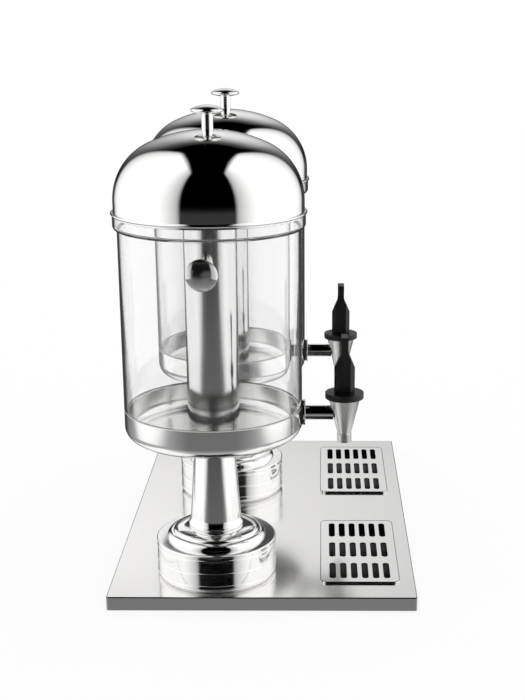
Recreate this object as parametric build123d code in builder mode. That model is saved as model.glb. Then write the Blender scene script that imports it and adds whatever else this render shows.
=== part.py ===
"""Twin-tank juice dispenser for a buffet: two clear tanks on steel pedestals over one base plate.

Millimetres, +Z up. The origin is on the table, under the middle of the overall outline.
The taps point to -Y. Left and right are as seen from the tap side.
"""
import os
from math import asin, cos, degrees, radians, sin, tan

from build123d import *

os.makedirs("parts", exist_ok=True)

# Fits shared by all pieces
slip = 0.3            # gap between pieces that lift or slide apart
screw_play = 0.1      # radial play of a screw or rod in its hole
seat_play = 0.05      # radial play of a pin held in its own hole

# Base: a flat plate on a shell of folded channel, on rubber pads
base_length = 568.0
base_width = 360.0
base_edge = 16.4
base_sheet = 1.5
base_corner = 2.5
base_return = 18.0
pad_height = 1.6
pad_radius = 6.0
pad_rows = 2
pad_columns = 3
base_top = pad_height + base_edge

# Tank stations: the pedestals stand towards the left end, so the left tank reaches past the base
left_tank_inset = 78.0
tank_pitch = 286.0
tank_setback = 237.0

# Drip trays and their slotted grilles
grille_pitch = 299.0
grille_setback = 65.0
grille_length = 193.0
grille_width = 94.6
grille_corner = 9.0
grille_sheet = 1.7
grille_rim = 1.2
grille_overlap = 2.5
slot_length = 44.7
slot_width = 7.9
slot_pitch_x = 63.4
slot_pitch_y = 12.95
slot_rows = 3
slot_columns = 6
tray_sheet = 0.8
tray_flange = 6.0
tray_depth = 11.0
tray_play = 0.6

# Pedestal: grooved drum, cap with a rounded ring and a low dome, tapered column
drum_radius = 71.0
drum_height = 47.2
drum_wall = 4.0
drum_edge = 1.6
drum_foot_edge = 2.5
groove_round = 4.6
groove_depth = 0.3
groove_heights = (9.3, 24.8, 41.0)
cap_radius = 58.6
cap_round = 8.0
cap_sheet = 1.5
dome_rise = 6.2
column_foot_radius = 32.3
column_bead = 5.0
column_bulge = 0.8
column_flare = 6.0
column_base_radius = 29.8
column_top_radius = 22.6
column_wall = 1.5
pedestal_height = 174.0

# Tie rod through the pedestal
rod_radius = 5.0
rod_washer_radius = 12.0
rod_washer_height = 1.6
rod_nut_flats = 17.0
rod_nut_height = 6.5
rod_end = 1.0

# Steel cup, with a floor pan that hangs in it by its flange
tank_radius = 103.0
cup_wall = 1.5
cup_round = 14.0
cup_height = 33.6
pan_sheet = 1.2
pan_gap = 3.0
pan_depth = 28.6
pan_round = 12.0
pan_boss_height = 4.0

# Clear tank with a stepped collar, bonded on a seal ring
tank_wall = 3.0
seal_height = 0.8
tank_height = 223.2
collar_step = 4.7
collar_height = 11.6

# Domed lid with a rolled bead and an inner locating lip
lid_step = 1.7
lid_sheet = 1.0
bead_radius = 1.5
bead_reach = 3.0
lip_depth = 2.5
skirt_height = 14.6
shoulder_share = 0.6423
crown_share = 1.4888

# Mushroom knob, used on the lid and on the ice tube
knob_radius = 18.2
knob_height = 26.4
knob_crown = 4.1
knob_edge = 3.6
knob_rim = 1.2
knob_under = 2.1
knob_belly = 0.4
knob_stem_radius = 6.4
knob_screw_radius = 2.5
knob_screw_depth = 12.0
screw_head_radius = 5.0
screw_head_height = 3.0

# Ice tube, closed above its foot, standing over the boss of the pan
tube_radius = 30.0
tube_wall = 1.0
tube_floor_height = 22.0
tube_above_tank = 21.0
tube_knob_below_rim = 61.0
tube_knob_turn = 6.8

# Tap: steel body with shank, black bonnet and handle
tap_reach = 152.2
shank_height = 21.0
shank_radius = 8.5
shank_bore = 4.5
spigot_radius = 6.2
flange_radius = 15.0
flange_thick = 2.4
flange_seal = 1.5
seal_inset = 0.6
inner_seal_thick = 1.5
tap_nut_radius = 8.6
tap_nut_thick = 5.0
spout_radius = 8.5
spout_bore = 5.0
spout_drop = 35.2
spout_height = 10.3
cone_base_radius = 8.0
cone_top_radius = 18.4
cone_rise = 17.8
mouth_radius = 15.0
mouth_depth = 6.5
valve_ledge = 4.9
ledge_radius = 7.7
bonnet_radius = 22.4
bonnet_thick = 7.1
bonnet_round = 0.7
bonnet_plug = 6.0

# Handle: block that rocks on its front edge, shoulders, waisted blade
block_depth = 23.8
block_width = 14.0
block_height = 29.5
block_face_height = 24.0
block_chamfer = 5.0
blade_neck = 9.4
blade_waist = 8.0
blade_top = 8.4
blade_width_neck = 18.0
blade_width_top = 24.0
shoulder_height = 15.6
handle_height = 66.6
waist_height = 52.0
handle_round = 1.2
blade_corner = 1.8
handle_tilt = 22.0

# Valve inside the tap
stem_radius = 2.5
pin_radius = 1.5
pin_length = 11.0
pin_height = 9.0
stem_above_pin = 2.6
pocket_half_width = 3.4
pocket_height = 15.0
seat_radius = 7.0
seat_height = 8.0
spring_wire = 0.9
spring_radius = 4.4
spring_turns = 6

# Heights that follow from the stack
drum_top = base_top + drum_height
cap_top = drum_top + cap_round
foot_z = cap_top + dome_rise
cup_bottom = base_top + pedestal_height
cup_rim = cup_bottom + cup_height
pan_top = cup_rim + pan_sheet
pan_floor = pan_top - pan_depth - pan_sheet
tank_bottom = pan_top + seal_height
tank_top = tank_bottom + tank_height
shoulder_z = tank_top + skirt_height
tube_top = tank_top + tube_above_tank
shank_z = pan_floor + shank_height
cone_bottom = shank_z - spout_drop + spout_height
cone_top = shank_z + cone_rise
ledge_z = cone_bottom + valve_ledge
bonnet_top = cone_top + bonnet_thick
pin_z = bonnet_top + pin_height

# Radii that follow from the walls
pan_radius = tank_radius - cup_wall - pan_gap
pan_inside = pan_radius - pan_sheet
tank_inside = tank_radius - tank_wall
collar_radius = tank_radius + collar_step
collar_inside = collar_radius - tank_wall
boss_radius = tube_radius - tube_wall - slip
tray_length = grille_length - 2 * (grille_overlap + tray_flange)
tray_width = grille_width - 2 * (grille_overlap + tray_flange)
tray_corner = grille_corner - grille_overlap
lid_radius = collar_inside + lid_step
shoulder_radius = shoulder_share * lid_radius
crown_radius = crown_share * lid_radius
lid_reach = lid_radius + bead_reach

# Places in plan: the base plate's middle stands off the origin by half of the left lid's overhang
overhang = max(lid_reach - left_tank_inset, 0)
base_x = overhang / 2
left_tank_x = base_x - base_length / 2 + left_tank_inset
tank_y = tank_setback - base_width / 2
grille_y = grille_setback - base_width / 2
tank_xs = (left_tank_x, left_tank_x + tank_pitch)
tank_places = [(x, tank_y) for x in tank_xs]
grille_places = [(base_x - grille_pitch / 2, grille_y), (base_x + grille_pitch / 2, grille_y)]


def write(piece, name):
    """Labels a finished piece and writes its STEP file."""
    piece.part.label = name
    export_step(piece.part, f"parts/{name}.step")


def ring_section(inner, outer, bottom, top):
    """Rectangle for a ring or disc, in a section sketch with the axis at x = 0."""
    with Locations(((inner + outer) / 2, (bottom + top) / 2)):
        Rectangle(outer - inner, top - bottom)


def knob_screw_section(sheet, inner_radius):
    """Half section of the knob's screw: its head bears on the curved inside of the sheet."""
    head_top = (inner_radius**2 - screw_head_radius**2) ** 0.5 - inner_radius - sheet
    Polygon(
        (0, head_top - screw_head_height),
        (screw_head_radius, head_top - screw_head_height),
        (screw_head_radius, head_top),
        (knob_screw_radius, head_top),
        (knob_screw_radius, knob_screw_depth - screw_play),
        (0, knob_screw_depth - screw_play),
        align=None,
    )


# Half section of the mushroom knob: its foot reaches below y = 0, to be hollowed to what it stands on
with BuildSketch() as knob_section:
    rim_z = knob_height - knob_crown
    under_z = rim_z - knob_edge - knob_under
    screw_hole = knob_screw_radius + screw_play
    with BuildLine():
        rim_radius = knob_radius - knob_rim
        crown = TangentArc((0, knob_height), (rim_radius, rim_z), tangent=(1, 0))
        edge = ThreePointArc(
            crown @ 1,
            (knob_radius, rim_z - knob_edge / 2),
            (rim_radius, rim_z - knob_edge),
        )
        under = SagittaArc(edge @ 1, (knob_stem_radius, under_z), knob_belly)
        Polyline(
            under @ 1,
            (knob_stem_radius, -tube_wall),
            (screw_hole, -tube_wall),
            (screw_hole, knob_screw_depth),
            (0, knob_screw_depth),
            crown @ 0,
        )
    make_face()

# Base shell: a frame of folded channel round the edge, open to the middle
base_plane = Plane((base_x, 0, pad_height))
shell_height = base_edge - base_sheet
with BuildPart() as base_shell:
    with BuildSketch(base_plane):
        RectangleRounded(base_length, base_width, base_corner)
        Rectangle(base_length - 2 * base_return, base_width - 2 * base_return, mode=Mode.SUBTRACT)
    extrude(amount=shell_height)
    with BuildSketch(base_plane.offset(base_sheet)):
        Rectangle(base_length - 2 * base_sheet, base_width - 2 * base_sheet)
    extrude(amount=shell_height - 2 * base_sheet, mode=Mode.SUBTRACT)
write(base_shell, "base_shell")

# Base plate: a flat sheet welded on the shell, with the tray openings and the holes for the tie rods
with BuildPart() as base_plate:
    with BuildSketch(base_plane.offset(shell_height)):
        RectangleRounded(base_length, base_width, base_corner)
    extrude(amount=base_sheet)
    with BuildSketch(Plane.XY.offset(base_top - base_sheet)):
        with Locations(*grille_places):
            RectangleRounded(tray_length + 2 * tray_play, tray_width + 2 * tray_play, tray_corner)
        with Locations(*tank_places):
            Circle(rod_radius + screw_play)
    extrude(amount=base_sheet, mode=Mode.SUBTRACT)
    fillet(base_plate.faces().sort_by(Axis.Z)[-1].outer_wire().edges(), base_sheet / 2)
write(base_plate, "base_plate")

with BuildPart() as rubber_pads:
    pad_inset = base_return - pad_radius - slip
    pad_pitch_x = (base_length - 2 * pad_inset) / (pad_columns - 1)
    pad_pitch_y = (base_width - 2 * pad_inset) / (pad_rows - 1)
    with BuildSketch(Plane((base_x, 0, 0))):
        with GridLocations(pad_pitch_x, pad_pitch_y, pad_columns, pad_rows):
            Circle(pad_radius)
    extrude(amount=pad_height)
write(rubber_pads, "rubber_pads")

# Tie rods, one through each pedestal, with a washer and a nut at each end
rod_top_washer = pan_floor + pan_boss_height
rod_top_nut = rod_top_washer + rod_washer_height
rod_low_washer = base_top - base_sheet - rod_washer_height
rod_low_nut = rod_low_washer - rod_nut_height

with BuildPart() as tie_rods:
    with BuildSketch(Plane.XY.offset(rod_low_nut - rod_end)):
        with Locations(*tank_places):
            Circle(rod_radius)
    extrude(amount=rod_top_nut + rod_nut_height + 2 * rod_end - rod_low_nut)
write(tie_rods, "tie_rods")

with BuildPart() as tie_rod_washers:
    for height in (rod_low_washer, rod_top_washer):
        with BuildSketch(Plane.XY.offset(height)):
            with Locations(*tank_places):
                Circle(rod_washer_radius)
                Circle(rod_radius + screw_play, mode=Mode.SUBTRACT)
        extrude(amount=rod_washer_height)
write(tie_rod_washers, "tie_rod_washers")

with BuildPart() as tie_rod_nuts:
    for height in (rod_low_nut, rod_top_nut):
        with BuildSketch(Plane.XY.offset(height)):
            with Locations(*tank_places):
                RegularPolygon(rod_nut_flats / 2, 6, major_radius=False)
                Circle(rod_radius + seat_play, mode=Mode.SUBTRACT)
        extrude(amount=rod_nut_height)
write(tie_rod_nuts, "tie_rod_nuts")

with BuildPart() as cup_spacers:
    with BuildSketch(Plane.XY.offset(cup_bottom + cup_wall)):
        with Locations(*tank_places):
            Circle(rod_washer_radius)
            Circle(rod_radius + screw_play, mode=Mode.SUBTRACT)
    extrude(amount=pan_floor + pan_boss_height - pan_sheet - cup_bottom - cup_wall)
write(cup_spacers, "cup_spacers")

# Tap nuts, inside the pans
nut_face = pan_inside - inner_seal_thick
with BuildPart() as tap_nuts:
    for x in tank_xs:
        with BuildSketch(Plane((x, tank_y - nut_face, shank_z), (1, 0, 0), (0, 1, 0))):
            RegularPolygon(tap_nut_radius, 6)
            Circle(spigot_radius + seat_play, mode=Mode.SUBTRACT)
        extrude(amount=tap_nut_thick)
write(tap_nuts, "tap_nuts")

for side, tank_x, grille_place in zip(("left", "right"), tank_xs, grille_places):
    section = Plane((tank_x, tank_y, 0), (1, 0, 0), (0, -1, 0))
    tank_axis = Axis((tank_x, tank_y, 0), (0, 0, 1))
    tap_y = tank_y - tap_reach
    tap_section = Plane((tank_x, tap_y, 0), (1, 0, 0), (0, -1, 0))
    tap_axis = Axis((tank_x, tap_y, 0), (0, 0, 1))
    shank_plane = Plane((tank_x, tap_y, shank_z), (1, 0, 0), (0, 1, 0))
    grille_plane = Plane((*grille_place, base_top), (1, 0, 0), (0, 0, 1))

    # Drip tray: a shallow pan with a flange that lies on the base plate
    with BuildPart() as drip_tray:
        with BuildSketch(grille_plane):
            RectangleRounded(
                grille_length - 2 * grille_overlap,
                grille_width - 2 * grille_overlap,
                tray_corner,
            )
        extrude(amount=tray_sheet)
        with BuildSketch(grille_plane.offset(-tray_depth)):
            RectangleRounded(tray_length, tray_width, tray_corner)
        extrude(amount=tray_depth)
        with BuildSketch(grille_plane.offset(-tray_depth + tray_sheet)):
            RectangleRounded(
                tray_length - 2 * tray_sheet,
                tray_width - 2 * tray_sheet,
                tray_corner,
            )
        extrude(amount=tray_depth, mode=Mode.SUBTRACT)
    write(drip_tray, f"{side}_drip_tray")

    # Grille: a slotted plate with a rim folded down over the tray's flange
    with BuildPart() as drip_grille:
        with BuildSketch(grille_plane.offset(slip)):
            RectangleRounded(grille_length, grille_width, grille_corner)
        extrude(amount=tray_sheet - slip + grille_sheet)
        with BuildSketch(grille_plane.offset(slip)):
            RectangleRounded(
                grille_length - 2 * grille_rim,
                grille_width - 2 * grille_rim,
                grille_corner - grille_rim,
            )
        extrude(amount=tray_sheet - slip, mode=Mode.SUBTRACT)
        fillet(drip_grille.faces().sort_by(Axis.Z)[-1].outer_wire().edges(), grille_rim / 2)
        with BuildSketch(grille_plane.offset(tray_sheet)):
            with GridLocations(slot_pitch_x, slot_pitch_y, slot_rows, slot_columns):
                SlotOverall(slot_length, slot_width)
        extrude(amount=grille_sheet, mode=Mode.SUBTRACT)
    write(drip_grille, f"{side}_drip_grille")

    # Foot drum: a spun ring with three turned grooves, open below
    with BuildPart() as foot_drum:
        with BuildSketch(section):
            ring_section(0, drum_radius, base_top, drum_top)
        revolve(axis=tank_axis)
        fillet(foot_drum.faces().sort_by(Axis.Z)[-1].edges(), drum_edge)
        fillet(foot_drum.faces().sort_by(Axis.Z)[0].edges(), drum_foot_edge)
        with BuildSketch(section):
            ring_section(0, drum_radius - drum_wall, base_top, drum_top - drum_wall)
            ring_section(0, rod_radius + screw_play, base_top, drum_top)
            groove_x = drum_radius - groove_depth + groove_round
            with Locations(*[(groove_x, base_top + height) for height in groove_heights]):
                Circle(groove_round)
        revolve(axis=tank_axis, mode=Mode.SUBTRACT)
    write(foot_drum, f"{side}_foot_drum")

    # Foot cap: a spun ring with a rounded edge and a low dome under the column
    with BuildPart() as foot_cap:
        ridge_radius = cap_radius - cap_round
        dome_reach = ridge_radius - column_base_radius
        with BuildSketch(section):
            with BuildLine():
                bull = CenterArc((ridge_radius, drum_top), cap_round, 0, 90)
                dome = EllipticalCenterArc((column_base_radius, cap_top), dome_reach, dome_rise, arc_size=90)
                Polyline(
                    dome @ 1,
                    (rod_radius + screw_play, foot_z),
                    (rod_radius + screw_play, foot_z - cap_sheet),
                    (column_base_radius, foot_z - cap_sheet),
                )
                EllipticalCenterArc(
                    (column_base_radius, cap_top - cap_sheet), dome_reach - cap_sheet, dome_rise, arc_size=90
                )
                Line((ridge_radius - cap_sheet, cap_top - cap_sheet), (ridge_radius, cap_top - cap_sheet))
                CenterArc((ridge_radius, drum_top), cap_round - cap_sheet, 0, 90)
                Line((cap_radius - cap_sheet, drum_top), bull @ 0)
            make_face()
        revolve(axis=tank_axis)
    write(foot_cap, f"{side}_foot_cap")

    # Column: a tapered spun tube that flares to a beaded foot, with a closed top
    with BuildPart() as column:
        foot_top = foot_z + column_bead
        flare_top = foot_top + column_flare
        neck_radius = column_foot_radius - column_bulge
        taper = (column_base_radius - column_top_radius, flare_top - cup_bottom)
        with BuildSketch(section):
            with BuildLine():
                bead = ThreePointArc(
                    (neck_radius, foot_z),
                    (column_foot_radius, (foot_z + foot_top) / 2),
                    (neck_radius, foot_top),
                )
                flare = TangentArc((column_base_radius, flare_top), bead @ 1, tangent=taper)
                Polyline(
                    flare @ 0,
                    (column_top_radius, cup_bottom),
                    (rod_radius + screw_play, cup_bottom),
                    (rod_radius + screw_play, cup_bottom - column_wall),
                    (column_top_radius - column_wall, cup_bottom - column_wall),
                    (column_base_radius - column_wall, flare_top),
                    (column_base_radius - column_wall, foot_z),
                    bead @ 0,
                )
            make_face()
        revolve(axis=tank_axis)
    write(column, f"{side}_column")

    # Cup: a spun bowl with a large bottom radius and a hole for the tap
    with BuildPart() as cup:
        with BuildSketch(section):
            ring_section(0, tank_radius, cup_bottom, cup_rim)
        revolve(axis=tank_axis)
        fillet(cup.faces().sort_by(Axis.Z)[0].edges(), cup_round)
        offset(amount=-cup_wall, openings=cup.faces().sort_by(Axis.Z)[-1])
        with BuildSketch(Plane.XY.offset(cup_bottom)):
            with Locations((tank_x, tank_y)):
                Circle(rod_radius + screw_play)
        extrude(amount=cup_wall, mode=Mode.SUBTRACT)
        with BuildSketch(shank_plane):
            Circle(spigot_radius + screw_play)
        extrude(amount=tap_reach - pan_inside, mode=Mode.SUBTRACT)
    write(cup, f"{side}_cup")

    # Floor pan: hangs in the cup by its flange, with a boss that centres the ice tube
    with BuildPart() as floor_pan:
        boss_top = pan_floor + pan_boss_height
        bend_x = pan_inside - pan_round
        bend_z = pan_floor + pan_round
        with BuildSketch(section):
            with BuildLine():
                floor = Polyline(
                    (rod_radius + screw_play, boss_top),
                    (boss_radius, boss_top),
                    (boss_radius, pan_floor),
                    (bend_x, pan_floor),
                )
                CenterArc((bend_x, bend_z), pan_round, 270, 90)
                Polyline(
                    (pan_inside, bend_z),
                    (pan_inside, pan_top),
                    (tank_radius, pan_top),
                    (tank_radius, cup_rim),
                    (pan_radius, cup_rim),
                    (pan_radius, bend_z),
                )
                CenterArc((bend_x, bend_z), pan_round + pan_sheet, 270, 90)
                Polyline(
                    (bend_x, pan_floor - pan_sheet),
                    (boss_radius - pan_sheet, pan_floor - pan_sheet),
                    (boss_radius - pan_sheet, boss_top - pan_sheet),
                    (rod_radius + screw_play, boss_top - pan_sheet),
                    floor @ 0,
                )
            make_face()
        revolve(axis=tank_axis)
        with BuildSketch(shank_plane):
            Circle(spigot_radius + screw_play)
        extrude(amount=tap_reach - nut_face, mode=Mode.SUBTRACT)
    write(floor_pan, f"{side}_floor_pan")

    # Seal ring that beds the tank on the pan's flange
    with BuildPart() as tank_seal:
        with BuildSketch(section):
            ring_section(tank_inside, tank_radius, pan_top, tank_bottom)
        revolve(axis=tank_axis)
    write(tank_seal, f"{side}_tank_seal")

    # Tank: a clear wall that steps out to a collar, where the lid sits
    with BuildPart() as tank:
        step_z = tank_top - collar_height - collar_step
        bend = collar_step - tank_wall
        with BuildSketch(section):
            with BuildLine():
                wall = Line((tank_inside, tank_bottom), (tank_radius, tank_bottom))
                Line(wall @ 1, (tank_radius, step_z))
                step = CenterArc((tank_radius, step_z + collar_step), collar_step, 270, 90)
                rim = Polyline(
                    step @ 1,
                    (collar_radius, tank_top),
                    (collar_inside, tank_top),
                    (collar_inside, step_z + collar_step),
                )
                inner = CenterArc((tank_radius, step_z + collar_step), bend, 0, -90)
                Polyline(inner @ 1, (tank_inside, step_z + tank_wall), wall @ 0)
            make_face()
        revolve(axis=tank_axis)
    write(tank, f"{side}_tank")

    # Lid: crown and shoulder arcs, straight skirt, rolled bead, lip inside the collar
    with BuildPart() as lid_dome:
        lip_radius = collar_inside - slip
        bead_axis = lid_radius + bead_reach - bead_radius
        lean = asin((lid_radius - shoulder_radius) / (crown_radius - shoulder_radius))
        sweep_angle = 90 - degrees(lean)
        crown_z = shoulder_z - (crown_radius - shoulder_radius) * cos(lean)
        with BuildSketch(section):
            with BuildLine():
                lip = Polyline(
                    (lip_radius - lid_sheet, tank_top + lid_sheet),
                    (lip_radius - lid_sheet, tank_top - lip_depth),
                    (lip_radius, tank_top - lip_depth),
                    (lip_radius, tank_top),
                    (bead_axis, tank_top),
                )
                bead = CenterArc((bead_axis, tank_top + bead_radius), bead_radius, 270, 180)
                skirt = Polyline(
                    bead @ 1,
                    (lid_radius, tank_top + 2 * bead_radius),
                    (lid_radius, shoulder_z),
                )
                shoulder_x = lid_radius - shoulder_radius
                CenterArc((shoulder_x, shoulder_z), shoulder_radius, 0, sweep_angle)
                crown_sweep = degrees(lean) - degrees(asin(screw_hole / crown_radius))
                outer_crown = CenterArc((0, crown_z), crown_radius, sweep_angle, crown_sweep)
                under_crown = crown_radius - lid_sheet
                under_sweep = degrees(lean) - degrees(asin(screw_hole / under_crown))
                inner_crown = CenterArc((0, crown_z), under_crown, sweep_angle, under_sweep)
                Line(outer_crown @ 1, inner_crown @ 1)
                CenterArc((shoulder_x, shoulder_z), shoulder_radius - lid_sheet, 0, sweep_angle)
                Polyline(
                    (lid_radius - lid_sheet, shoulder_z),
                    (lid_radius - lid_sheet, tank_top + lid_sheet),
                    lip @ 0,
                )
            make_face()
        revolve(axis=tank_axis)
    write(lid_dome, f"{side}_lid_dome")

    # Lid knob on top of the dome, with its screw from inside
    crown_top = crown_z + crown_radius
    knob_plane = Plane((tank_x, tank_y, crown_top), (1, 0, 0), (0, -1, 0))
    with BuildPart() as lid_knob:
        with BuildSketch(knob_plane):
            add(knob_section.sketch)
        revolve(axis=tank_axis)
        with Locations((tank_x, tank_y, crown_z)):
            Sphere(crown_radius, mode=Mode.SUBTRACT)
    write(lid_knob, f"{side}_lid_knob")

    with BuildPart() as lid_knob_screw:
        with BuildSketch(knob_plane):
            knob_screw_section(lid_sheet, crown_radius - lid_sheet)
        revolve(axis=tank_axis)
    write(lid_knob_screw, f"{side}_lid_knob_screw")

    # Ice tube: open at the top, closed by a floor above its foot
    tube_knob_z = tank_top - tube_knob_below_rim
    turn = radians(tube_knob_turn)
    outward = Vector(-cos(turn), sin(turn), 0)
    knob_axis = Axis((tank_x, tank_y, tube_knob_z), outward)
    with BuildPart() as ice_tube:
        with BuildSketch(section):
            ring_section(tube_radius - tube_wall, tube_radius, pan_floor, tube_top)
            floor_z = pan_floor + tube_floor_height
            ring_section(0, tube_radius - tube_wall, floor_z, floor_z + tube_wall)
        revolve(axis=tank_axis)
        with BuildSketch(Plane((tank_x, tank_y, tube_knob_z), (0, 0, 1), outward)):
            Circle(screw_hole)
        extrude(amount=tube_radius, mode=Mode.SUBTRACT)
    write(ice_tube, f"{side}_ice_tube")

    # Tube knob: the same knob on the side of the tube, its foot hollowed to the tube
    sideways = Vector(sin(turn), cos(turn), 0)
    foot_point = Vector(tank_x, tank_y, tube_knob_z) + outward * tube_radius
    tube_knob_plane = Plane(foot_point, sideways, sideways.cross(outward))
    with BuildPart() as tube_knob:
        with BuildSketch(tube_knob_plane):
            add(knob_section.sketch)
        revolve(axis=knob_axis)
        with BuildSketch(Plane.XY.offset(tube_knob_z - knob_radius)):
            with Locations((tank_x, tank_y)):
                Circle(tube_radius)
        extrude(amount=2 * knob_radius, mode=Mode.SUBTRACT)
    write(tube_knob, f"{side}_tube_knob")

    with BuildPart() as tube_knob_screw:
        with BuildSketch(tube_knob_plane):
            knob_screw_section(tube_wall, tube_radius - tube_wall)
        revolve(axis=knob_axis)
    write(tube_knob_screw, f"{side}_tube_knob_screw")

    # Tap body: hollow cone with its spout below and its shank through the cup wall
    with BuildPart() as tap_body:
        spout_end = shank_z - spout_drop
        flange_face = tap_reach - tank_radius - flange_seal - flange_thick
        with BuildSketch(tap_section):
            Polygon(
                (0, spout_end),
                (spout_radius, spout_end),
                (spout_radius, cone_bottom),
                (cone_base_radius, cone_bottom),
                (cone_top_radius, cone_top),
                (0, cone_top),
                align=None,
            )
        revolve(axis=tap_axis)
        with BuildSketch(shank_plane):
            Circle(shank_radius)
        extrude(amount=flange_face)
        with BuildSketch(shank_plane):
            Circle(spigot_radius)
        extrude(amount=tap_reach - nut_face + tap_nut_thick + rod_end)
        with BuildSketch(tap_section):
            Polygon(
                (0, spout_end),
                (spout_bore, spout_end),
                (spout_bore, ledge_z),
                (ledge_radius, ledge_z),
                (mouth_radius, cone_top - mouth_depth),
                (mouth_radius, cone_top),
                (0, cone_top),
                align=None,
            )
        revolve(axis=tap_axis, mode=Mode.SUBTRACT)
        with BuildSketch(shank_plane):
            Circle(shank_bore)
        extrude(amount=tap_reach, mode=Mode.SUBTRACT)
    write(tap_body, f"{side}_tap_body")

    # Flange and seals that clamp the shank in the wall
    with BuildPart() as tap_flange:
        with BuildSketch(shank_plane.offset(flange_face)):
            Circle(flange_radius)
            Circle(spigot_radius + screw_play, mode=Mode.SUBTRACT)
        extrude(amount=flange_thick)
        fillet(tap_flange.edges().group_by(Axis.Y)[0].sort_by(SortBy.RADIUS)[-1], flange_thick / 3)
    write(tap_flange, f"{side}_tap_flange")

    with BuildPart() as tap_outer_seal:
        seal_radius = flange_radius - seal_inset
        wall_dip = tank_radius - (tank_radius**2 - seal_radius**2) ** 0.5
        with BuildSketch(shank_plane.offset(flange_face + flange_thick)):
            Circle(seal_radius)
            Circle(spigot_radius + screw_play, mode=Mode.SUBTRACT)
        extrude(amount=flange_seal + wall_dip)
        with BuildSketch(Plane.XY.offset(shank_z - flange_radius)):
            with Locations((tank_x, tank_y)):
                Circle(tank_radius)
        extrude(amount=2 * flange_radius, mode=Mode.SUBTRACT)
    write(tap_outer_seal, f"{side}_tap_outer_seal")

    with BuildPart() as tap_inner_seal:
        with BuildSketch(shank_plane.offset(tap_reach - pan_inside)):
            Circle(tap_nut_radius)
            Circle(spigot_radius + screw_play, mode=Mode.SUBTRACT)
        extrude(amount=inner_seal_thick)
        with BuildSketch(Plane.XY.offset(shank_z - flange_radius)):
            with Locations((tank_x, tank_y)):
                Circle(pan_inside)
        extrude(amount=2 * flange_radius, mode=Mode.INTERSECT)
    write(tap_inner_seal, f"{side}_tap_inner_seal")

    # Bonnet: black disc that closes the tap body, with a plug in its mouth
    with BuildPart() as tap_bonnet:
        with BuildSketch(tap_section):
            ring_section(stem_radius + slip, bonnet_radius, cone_top, bonnet_top)
        revolve(axis=tap_axis)
        rims = tap_bonnet.edges().filter_by(GeomType.CIRCLE).sort_by(SortBy.RADIUS)[-2:]
        fillet(rims, min(bonnet_round, bonnet_thick / 2.2))
        with BuildSketch(tap_section):
            plug_radius = mouth_radius - screw_play
            ring_section(stem_radius + slip, plug_radius, cone_top - bonnet_plug, cone_top)
        revolve(axis=tap_axis)
    write(tap_bonnet, f"{side}_tap_bonnet")

    # Handle: side profile crossed with front profile, hollow below for the stem and its pin
    tilt = radians(handle_tilt)
    pin_arm = block_depth / 2
    stem_lift = pin_height * (1 / cos(tilt) - 1) + pin_arm * tan(tilt)
    pin_drift = pin_arm * cos(tilt) + (pin_height + stem_lift) * sin(tilt) - pin_arm
    handle_base = Plane((tank_x, tap_y, bonnet_top), (1, 0, 0), (0, 0, 1))
    side_view = Plane((tank_x, tap_y, bonnet_top), (0, 1, 0), (1, 0, 0))
    front_view = Plane((tank_x, tap_y, bonnet_top), (1, 0, 0), (0, -1, 0))
    with BuildPart() as tap_handle:
        with BuildSketch(side_view) as side_profile:
            Polygon(
                (-block_depth / 2, 0),
                (block_depth / 2, 0),
                (block_depth / 2, block_height),
                (blade_neck / 2, block_height + shoulder_height),
                (blade_waist / 2, waist_height),
                (blade_top / 2, handle_height),
                (-blade_top / 2, handle_height),
                (-blade_waist / 2, waist_height),
                (-blade_neck / 2, block_height + shoulder_height),
                (-block_depth / 2, block_height),
                align=None,
            )
            fillet(side_profile.vertices().group_by(Axis.Y)[-1], handle_round)
        extrude(amount=blade_width_top / 2, both=True)
        with BuildSketch(front_view) as front_profile:
            Polygon(
                (-block_width / 2, 0),
                (block_width / 2, 0),
                (block_width / 2, block_face_height),
                (blade_width_neck / 2, block_height + shoulder_height),
                (blade_width_top / 2, handle_height),
                (-blade_width_top / 2, handle_height),
                (-blade_width_neck / 2, block_height + shoulder_height),
                (-block_width / 2, block_face_height),
                align=None,
            )
            fillet(front_profile.vertices().group_by(Axis.Y)[-1], blade_corner)
        extrude(amount=block_depth / 2, both=True, mode=Mode.INTERSECT)
        with BuildSketch(handle_base) as block_plan:
            Rectangle(block_width, block_depth)
            chamfer(block_plan.vertices(), block_chamfer)
            Rectangle(blade_width_top, blade_neck)
        extrude(amount=handle_height, mode=Mode.INTERSECT)
        with BuildSketch(handle_base):
            front_room = stem_radius + slip + seat_play
            stem_end = pin_height + stem_lift + stem_above_pin
            back_room = (pin_arm + stem_radius) * cos(tilt) + stem_end * sin(tilt) + slip - pin_arm
            with Locations((0, (back_room - front_room) / 2)):
                Rectangle(2 * pocket_half_width, back_room + front_room)
        extrude(amount=pocket_height, mode=Mode.SUBTRACT)
        with BuildSketch(side_view):
            slot_reach = pin_drift + 2 * (pin_radius + 2 * slip)
            with Locations((pin_drift / 2, pin_height)):
                SlotOverall(slot_reach, 2 * (pin_radius + 2 * slip))
        extrude(amount=pin_length / 2 + slip, both=True, mode=Mode.SUBTRACT)
    write(tap_handle, f"{side}_tap_handle")

    # Valve: stem with a cross pin at the top and a silicone seat at the bottom
    with BuildPart() as valve_stem:
        with BuildSketch(tap_section):
            ring_section(0, stem_radius, ledge_z + seat_height / 2, pin_z + stem_above_pin)
        revolve(axis=tap_axis)
        with BuildSketch(Plane((tank_x, tap_y, pin_z), (0, 1, 0), (1, 0, 0))):
            Circle(pin_radius + seat_play)
        extrude(amount=stem_radius, both=True, mode=Mode.SUBTRACT)
    write(valve_stem, f"{side}_valve_stem")

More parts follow.
